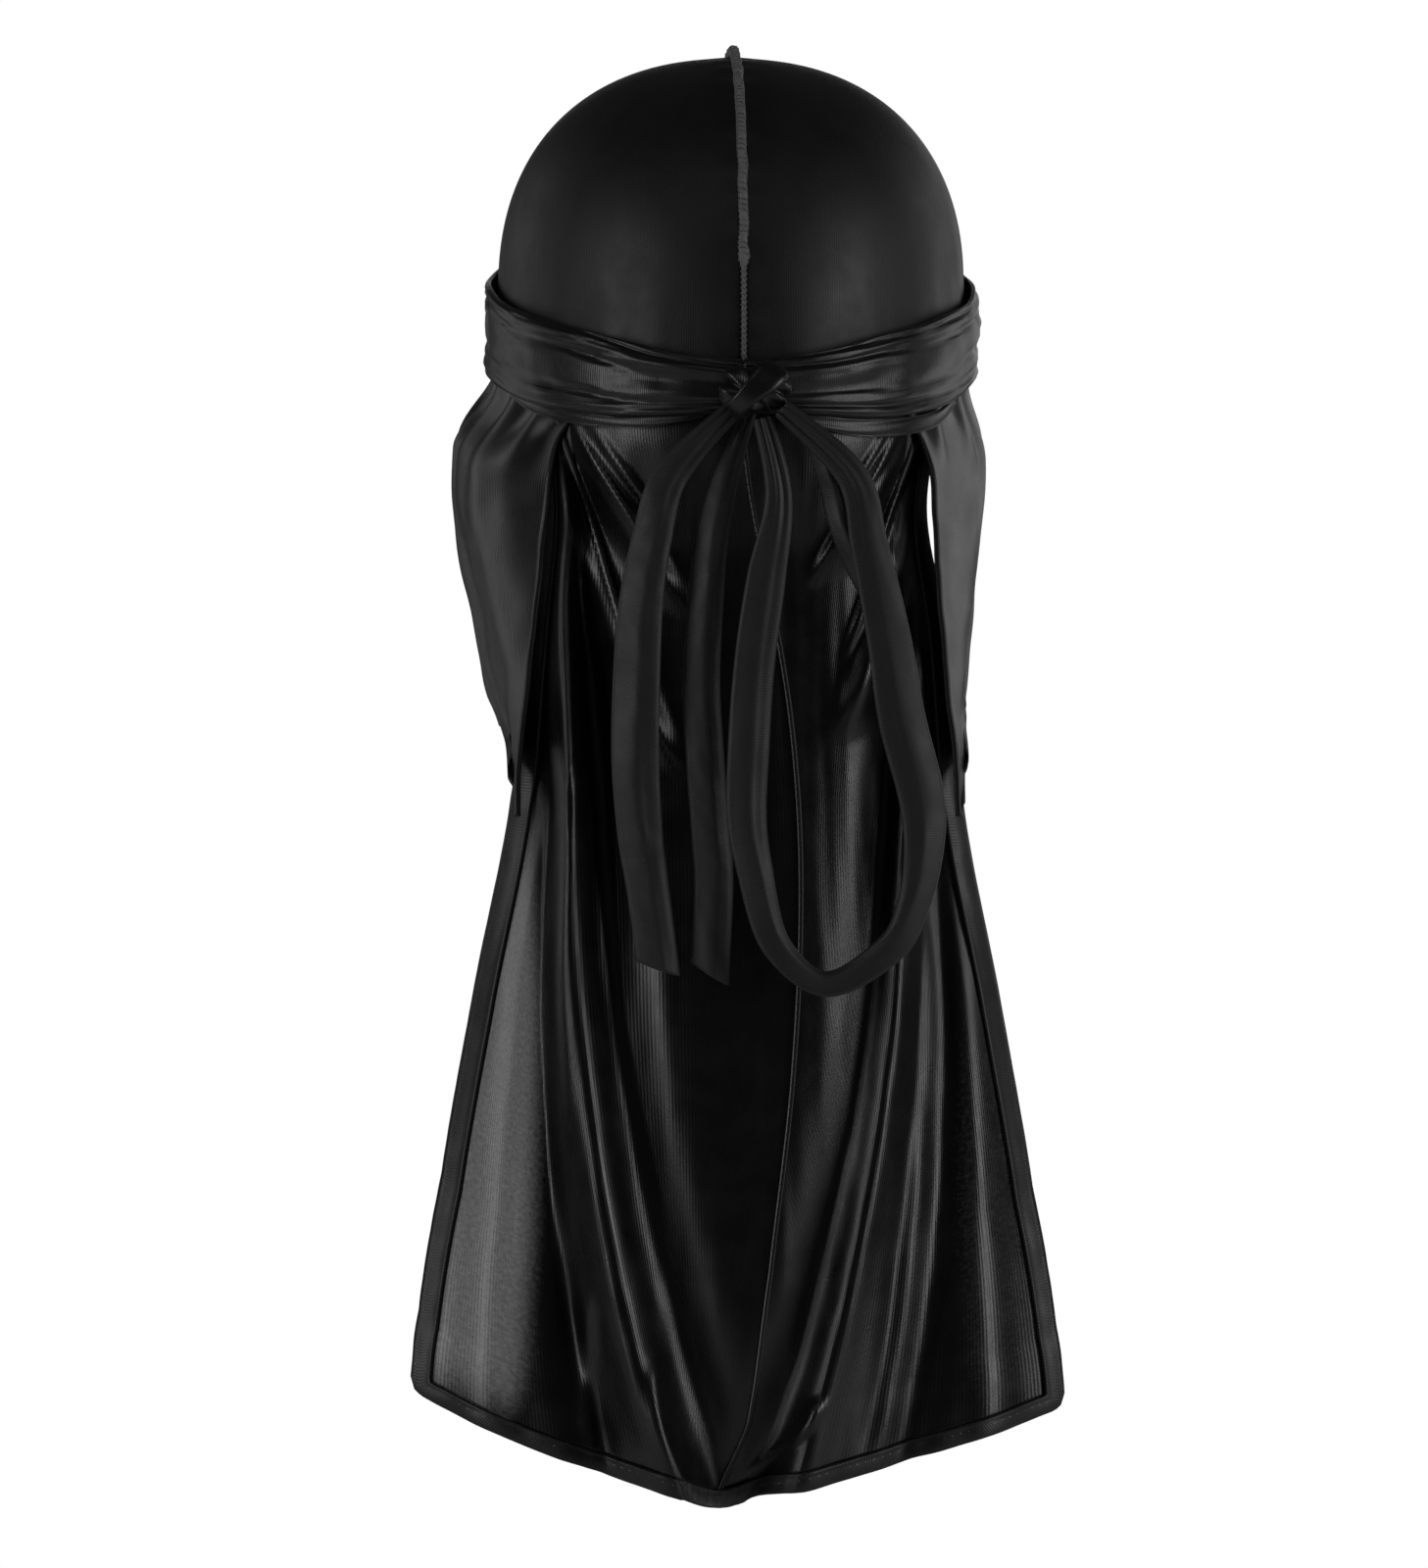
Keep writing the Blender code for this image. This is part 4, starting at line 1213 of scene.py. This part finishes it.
def make_wing(side):
    """The slack root of a strap, hanging beside the neck as one sheer layer."""
    sizes = bpy.context.scene.durag_sizes

    def where(across, down):
        share = across if side == LEFT else 1 - across
        return share, down**WING_ROW_CROWDING

    def read(share, level):
        return wing_point(side, min(1, share), level)

    def place(across, down):
        share, level = where(across, down)
        point = wing_point(side, share, level)
        point.z += WING_TIP_RISE * share * eased((level - 0.7) / 0.3)
        beside, below = directions(read, share, level, WING_READING_STEP)
        outward = beside.cross(below).normalized() * -side
        held = eased(level / WING_HELD)
        return point + outward * (wing_folds(side, share, level) * held)

    def closeness(across, down):
        return wing_gather(side, *where(across, down))

    net = grid_net(WING_COLUMNS, WING_LEVELS, place, (0.12, 0.16), merge=False)
    mark_gathered(net, WING_COLUMNS, WING_LEVELS, closeness)
    name = sided("sheer_wing", side)
    wing = finish_piece(net, name, "sheer_cape_satin", wall=sizes.sheer_wall)
    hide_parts(sided("tie_wing", side))

    def rolled_edge(along, around):
        level = between(WING_EDGE_START, 1, along)
        point = place(0 if side == LEFT else 1, level ** (1 / WING_ROW_CROWDING))
        turn = 2 * math.pi * around
        out = Vector((0, 1, 0)) * (WING_EDGE_THICKNESS / 2 * math.sin(turn))
        return point + out + Vector((side, 0, 0)) * (WING_EDGE_WIDTH / 2 * math.cos(turn))

    name = sided("wing_rolled_edge", side)
    closed_tube(name, 120, 10, rolled_edge, (0.16, 0.004), "doubled_cape_satin")


def fine_depth(across, level):
    """The cape's small folds and creases beside its main ones."""
    drape = FOLD_DRAPE * wander(across * 6 + level, level * 3, 1)
    drape += FOLD_CRINKLE * wander(across * 17, level * 6, 2)
    return FOLD_HEIGHT * (fold_total(FINE_FOLDS, across, level) + drape)


def fine_cape_point(across, level):
    """A point of the cape with its small folds, held calm at the hem and the band."""
    point = cape_point(across, level)
    below_band = point.z - band_line(across * CAPE_HALF_ANGLE)
    calm = eased((-below_band - SWAG_START) / SWAG_LETTING_GO)
    from_edge = (1 - abs(across)) * CAPE_HEM_HALF_WIDTH
    calm *= 1 - 0.9 * hump(from_edge, EDGE_CALM_WIDTH * 0.6)
    calm *= 1 - 0.75 * hump(max(0, 1 - level) * CAPE_DROP, HEM_WIDTH * 2.5)
    slit = SLIT_DEPTH[LEFT if across > 0 else RIGHT] * hump(level - SLIT_LEVEL, SLIT_RUN)
    aside = -slit * across * abs(across) ** 3
    return point + Vector((aside, fine_depth(across, level) * calm, 0))


def cape_gather(across, level):
    """How closely the cape is gathered: open beside its edges, close in the middle."""
    reach = from_rows(OPEN_ROWS, "left" if across > 0 else "right", level)
    closed = eased((reach + OPEN_FADE - abs(across)) / (2 * OPEN_FADE))
    hem = 0.7 * hump(1 - level, 0.03)
    slack = CAPE_CLOSENESS[LEFT if across > 0 else RIGHT]
    return min(1, slack + (1 - slack) * (closed + hem))


def make_cape_panel(side):
    """Half of the cape, a flared sheet of sheer satin with all its folds."""
    sizes = bpy.context.scene.durag_sizes
    last_level = 1 - (HEM_WIDTH + HEM_GAP) / CAPE_DROP

    def where(across, down):
        level = down * last_level
        inner = cape_seam_across(level) + side * side_share(GAP / 2, level)
        outer = side * (1 - side_share(HEM_WIDTH + HEM_GAP, level))
        share = across if side == LEFT else 1 - across
        return cape_column(side, share, level, inner, outer), level

    def place(across, down):
        return fine_cape_point(*where(across, down))

    def closeness(across, down):
        return cape_gather(*where(across, down))

    net = grid_net(CAPE_COLUMNS, CAPE_LEVELS, place, (0.115, 0.385), merge=False)
    mark_gathered(net, CAPE_COLUMNS, CAPE_LEVELS, closeness)
    name = sided("sheer_cape", side)
    panel = finish_piece(net, name, "sheer_cape_satin", wall=sizes.sheer_wall)
    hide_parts(sided("cape", side))


def hem_place(along, inset):
    """A point of the cape's edge strip: up one side, along the bottom, up the other."""
    sides, bottom = HEM_SIDE_STEPS, HEM_BOTTOM_STEPS
    total = 2 * sides + 2 * bottom
    step = along * total
    low = 1 - inset / CAPE_DROP
    if step <= sides:
        level = low * step / sides
        return fine_cape_point(-1 + side_share(inset, level), level)
    if step >= total - sides:
        level = low * (total - step) / sides
        return fine_cape_point(1 - side_share(inset, level), level)
    side = RIGHT if step - sides < bottom else LEFT
    share = abs(step - sides - bottom) / bottom
    outer = side * (1 - side_share(inset, low))
    return fine_cape_point(cape_column(side, share, low, cape_seam_across(low), outer), low)


def make_cape_hem():
    """The turned hem: a doubled strip with rolled edges and a row of stitches."""
    total = 2 * HEM_SIDE_STEPS + 2 * HEM_BOTTOM_STEPS

    def place(along, across):
        plain = hem_place(round(along * total) / total, (HEM_WIDTH + HEM_LAP) * (1 - across))
        bulge = HEM_ROLL * (1 - (2 * across - 1) ** 2)
        lap = HEM_LAP_RISE * hump(across, 0.15)
        return plain + Vector((0, bulge + lap + HEM_RIPPLE * wander(along * 130, across), 0))

    net = grid_net(total, 8, place, (1.0, HEM_WIDTH), merge=False)
    hem = finish_piece(net, "turned_cape_hem", "doubled_cape_satin", wall=HEM_THICKNESS)
    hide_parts("cape_hem")

    def stitch_line(along):
        return hem_place(along, HEM_WIDTH * 0.8)

    running_stitch("hem_stitches", stitch_line, round(1.0 / HEM_STITCH), HEM_THICKNESS)


def running_stitch(name, path, stitches, lift):
    """A thread that runs on the cloth and dips into it at each stitch's end."""
    nudge = STITCH_READING_STEP

    def place(along, around):
        point = path(along)
        ahead = (path(min(1, along + nudge)) - path(max(0, along - nudge))).normalized()
        outward = OUT_BACK - ahead * ahead.dot(OUT_BACK)
        outward.normalize()
        aside = ahead.cross(outward)
        dip = STITCH_DIP * math.cos(2 * math.pi * stitches * along)
        turn = 2 * math.pi * around
        ring = outward * math.sin(turn) + aside * math.cos(turn)
        return point + outward * (lift + dip) + ring * STITCH_THREAD / 2

    size = (1.0, 0.001)
    closed_tube(name, stitches * 6, THREAD_SIDES, place, size, "spun_polyester_thread")


def make_cape_seam():
    """The felled seam down the cape's middle: a narrow doubled strip and its stitches."""
    first = 1 / CAPE_SEAM_START
    last = 1 - (HEM_WIDTH + HEM_GAP) / CAPE_DROP

    def frame_at(along):
        level = last * between(first, 1, along)
        across = cape_seam_across(level)
        point = fine_cape_point(across, level)
        beside, below = directions(cape_point, across, level, CAPE_READING_STEP)
        return point, beside.cross(below).normalized(), beside.normalized()

    def place(along, around):
        point, outward, aside = frame_at(along)
        turn = 2 * math.pi * around
        lift = CLOTH / 2 + CAPE_SEAM_HEIGHT / 2 * (1 - squared_cosine(turn))
        wide = CAPE_SEAM_WIDTH / 2 * squared_cosine(turn - math.pi / 2)
        return point + outward * lift + aside * wide

    seam = closed_tube("felled_cape_seam", 260, 12, place, (0.36, 0.006), "doubled_cape_satin")
    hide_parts("cape_seam")

    def beside_seam(along):
        point, outward, aside = frame_at(along)
        return point + aside * CAPE_SEAM_WIDTH * 0.30

    lift = CLOTH / 2 + CAPE_SEAM_HEIGHT
    running_stitch("cape_seam_stitches", beside_seam, CAPE_SEAM_STITCHES, lift)


def make_floor():
    """A round pale floor below the hem, small enough to stay out of the main view."""
    net = bmesh.new()
    bmesh.ops.create_circle(net, cap_ends=True, segments=96, radius=FLOOR_RADIUS)
    bmesh.ops.translate(net, verts=net.verts, vec=(0, 0, cad_low[2] - FLOOR_DROP))
    shape = bpy.data.meshes.new("studio_floor")
    net.to_mesh(shape)
    net.free()
    paint = {"Base Color": (*hex_to_linear("F4F4F2"), 1), "Roughness": 0.8}
    shape.materials.append(new_material("matt_white_board", paint)[0])
    floor = bpy.data.objects.new("studio_floor", shape)
    bpy.context.scene.collection.objects.link(floor)


def make_soft_light(name, place, size, power):
    """A rectangular softbox that faces the middle of the durag."""
    lamp = bpy.data.lights.new(name, "AREA")
    lamp.shape = "RECTANGLE"
    lamp.size, lamp.size_y = size
    lamp.energy = power
    light = bpy.data.objects.new(name, lamp)
    light.location = place
    aim = Vector((0, 0, LIGHT_AIM_HEIGHT)) - Vector(place)
    light.rotation_euler = aim.to_track_quat("-Z", "Y").to_euler()
    bpy.context.scene.collection.objects.link(light)


def make_surround():
    """White behind everything, and a dimmer grey where the cloth mirrors it."""
    world = bpy.data.worlds.new("pale_surround")
    world.use_nodes = True
    bpy.context.scene.world = world
    tree = world.node_tree
    shade = tree.nodes["Background"]
    path = add_node(tree, "LightPath")
    strength = map_range(tree, path.outputs["Is Camera Ray"], SURROUND_LIGHT, 1)
    shade.inputs["Color"].default_value = (1, 1, 1, 1)
    tree.links.new(strength, shade.inputs["Strength"])


def make_camera():
    """The photograph's view, from behind and level with the durag's middle."""
    view = bpy.data.cameras.new("behind")
    view.sensor_width = SENSOR
    view.lens = FOCAL_PIXELS * SENSOR / max(PHOTO_WIDTH, PHOTO_HEIGHT)
    view.clip_start = 0.05
    view.clip_end = 50
    camera = bpy.data.objects.new("behind", view)
    away = Vector((math.sin(CAMERA_AZIMUTH), -math.cos(CAMERA_AZIMUTH), 0))
    aside = Vector((away.y, -away.x, 0))
    metres_a_pixel = CAMERA_DISTANCE / FOCAL_PIXELS
    target = Vector((0, 0, CAMERA_TARGET_HEIGHT))
    target += aside * ((TARGET_PIXEL[0] - PHOTO_WIDTH / 2) * metres_a_pixel)
    target += Vector((0, 0, (TARGET_PIXEL[1] - PHOTO_HEIGHT / 2) * metres_a_pixel))
    camera.location = target + away * CAMERA_DISTANCE
    camera.rotation_euler = (-away).to_track_quat("-Z", "Y").to_euler()
    bpy.context.scene.collection.objects.link(camera)
    bpy.context.scene.camera = camera


def length_field(name, default, description):
    return FloatProperty(name=name, description=description, default=default, unit="LENGTH")


def factor_field(name, default, description):
    return FloatProperty(
        name=name, description=description, default=default, min=0, max=1, subtype="FACTOR"
    )


def colour_field(name, default):
    return StringProperty(name=name, description="sRGB hex colour", default=default)


class DuragSizes(bpy.types.PropertyGroup):
    """Sizes of the fine work that a user may change."""

    cloth_wall: length_field("Crown cloth", 0.0008, "Thickness of the crown's satin")
    sheer_wall: length_field("Sheer cloth", 0.0005, "Thickness of the cape and wings")
    pleat: length_field("Pleat height", 0.0022, "How far the tie's folded layers stand out")
    pucker: length_field("Seam pucker", 0.0003, "Height of the puckers beside the crown seam")


class DuragFinish(bpy.types.PropertyGroup):
    """Colours, as sRGB hex, and gloss of the satin and the thread."""

    crown_colour: colour_field("Crown satin", "070708")
    tie_colour: colour_field("Tie satin", "090909")
    strap_colour: colour_field("Straps", "1B1B1C")
    cape_colour: colour_field("Cape satin", "060607")
    thread_colour: colour_field("Thread", "7C7C7E")
    roughness: factor_field("Roughness", 0.38, "Roughness of the satin's face")
    sheen: factor_field("Sheen", 0.05, "Soft edge light of the fibres")


class MakingStep:
    """What the operators share: each makes its pieces and reports that it's done."""

    def execute(self, context):
        self.make()
        return {"FINISHED"}


class MakeCrown(MakingStep, bpy.types.Operator):
    """Makes the crown's two satin panels"""

    bl_idname = "durag.make_crown"
    bl_label = "Crown"

    def make(self):
        for side in (LEFT, RIGHT):
            make_crown_panel(side)


class MakeCrownSeam(MakingStep, bpy.types.Operator):
    """Makes the overlocked ridge over the crown"""

    bl_idname = "durag.make_crown_seam"
    bl_label = "Crown seam"

    def make(self):
        make_crown_seam()


class MakeTieBand(MakingStep, bpy.types.Operator):
    """Makes the pleated tie round the head"""

    bl_idname = "durag.make_tie_band"
    bl_label = "Tie band"

    def make(self):
        make_tie_band()


class MakeKnot(MakingStep, bpy.types.Operator):
    """Makes the knot of the half bow"""

    bl_idname = "durag.make_knot"
    bl_label = "Knot"

    def make(self):
        make_tie_knot()


class MakeStraps(MakingStep, bpy.types.Operator):
    """Makes the bow's loop and the two tails"""

    bl_idname = "durag.make_straps"
    bl_label = "Bow straps"

    def make(self):
        make_straps()


class MakeWings(MakingStep, bpy.types.Operator):
    """Makes the two sheer wings beside the neck"""

    bl_idname = "durag.make_wings"
    bl_label = "Wings"

    def make(self):
        for side in (LEFT, RIGHT):
            make_wing(side)


class MakeCape(MakingStep, bpy.types.Operator):
    """Makes the cape's two panels and its middle seam"""

    bl_idname = "durag.make_cape"
    bl_label = "Cape"

    def make(self):
        for side in (LEFT, RIGHT):
            make_cape_panel(side)
        make_cape_seam()


class MakeCapeHem(MakingStep, bpy.types.Operator):
    """Makes the cape's turned hem and its stitches"""

    bl_idname = "durag.make_cape_hem"
    bl_label = "Cape hem"

    def make(self):
        make_cape_hem()


class MakeStage(MakingStep, bpy.types.Operator):
    """Makes the pale floor, the surround, the soft lights and the camera"""

    bl_idname = "durag.make_stage"
    bl_label = "Stage"

    def make(self):
        make_floor()
        make_surround()
        for name, place, size, power in SOFT_LIGHTS:
            make_soft_light(name, place, size, power)
        make_camera()
        bpy.context.scene.view_settings.view_transform = "Standard"


class DuragPanel(bpy.types.Panel):
    """Lists the durag's sizes, finish and pieces in the sidebar"""

    bl_idname = "VIEW3D_PT_durag"
    bl_label = "Durag"
    bl_space_type = "VIEW_3D"
    bl_region_type = "UI"
    bl_category = "Durag"

    def draw(self, context):
        column = self.layout.column()
        for group in (context.scene.durag_sizes, context.scene.durag_finish):
            for name in group.__annotations__:
                column.prop(group, name)
        for operator in OPERATORS:
            column.operator(operator.bl_idname)


OPERATORS = (
    MakeCrown,
    MakeCrownSeam,
    MakeTieBand,
    MakeKnot,
    MakeStraps,
    MakeWings,
    MakeCape,
    MakeCapeHem,
    MakeStage,
)
CLASSES = (DuragSizes, DuragFinish, *OPERATORS, DuragPanel)


def register():
    for made in CLASSES:
        bpy.utils.register_class(made)
    bpy.types.Scene.durag_sizes = PointerProperty(type=DuragSizes)
    bpy.types.Scene.durag_finish = PointerProperty(type=DuragFinish)


def unregister():
    del bpy.types.Scene.durag_finish
    del bpy.types.Scene.durag_sizes
    for made in reversed(CLASSES):
        bpy.utils.unregister_class(made)


def main():
    register()
    bpy.ops.durag.make_stage()
    bpy.ops.durag.make_crown()
    bpy.ops.durag.make_crown_seam()
    bpy.ops.durag.make_tie_band()
    bpy.ops.durag.make_knot()
    bpy.ops.durag.make_straps()
    bpy.ops.durag.make_wings()
    bpy.ops.durag.make_cape()
    bpy.ops.durag.make_cape_hem()


if __name__ == "__main__":
    main()
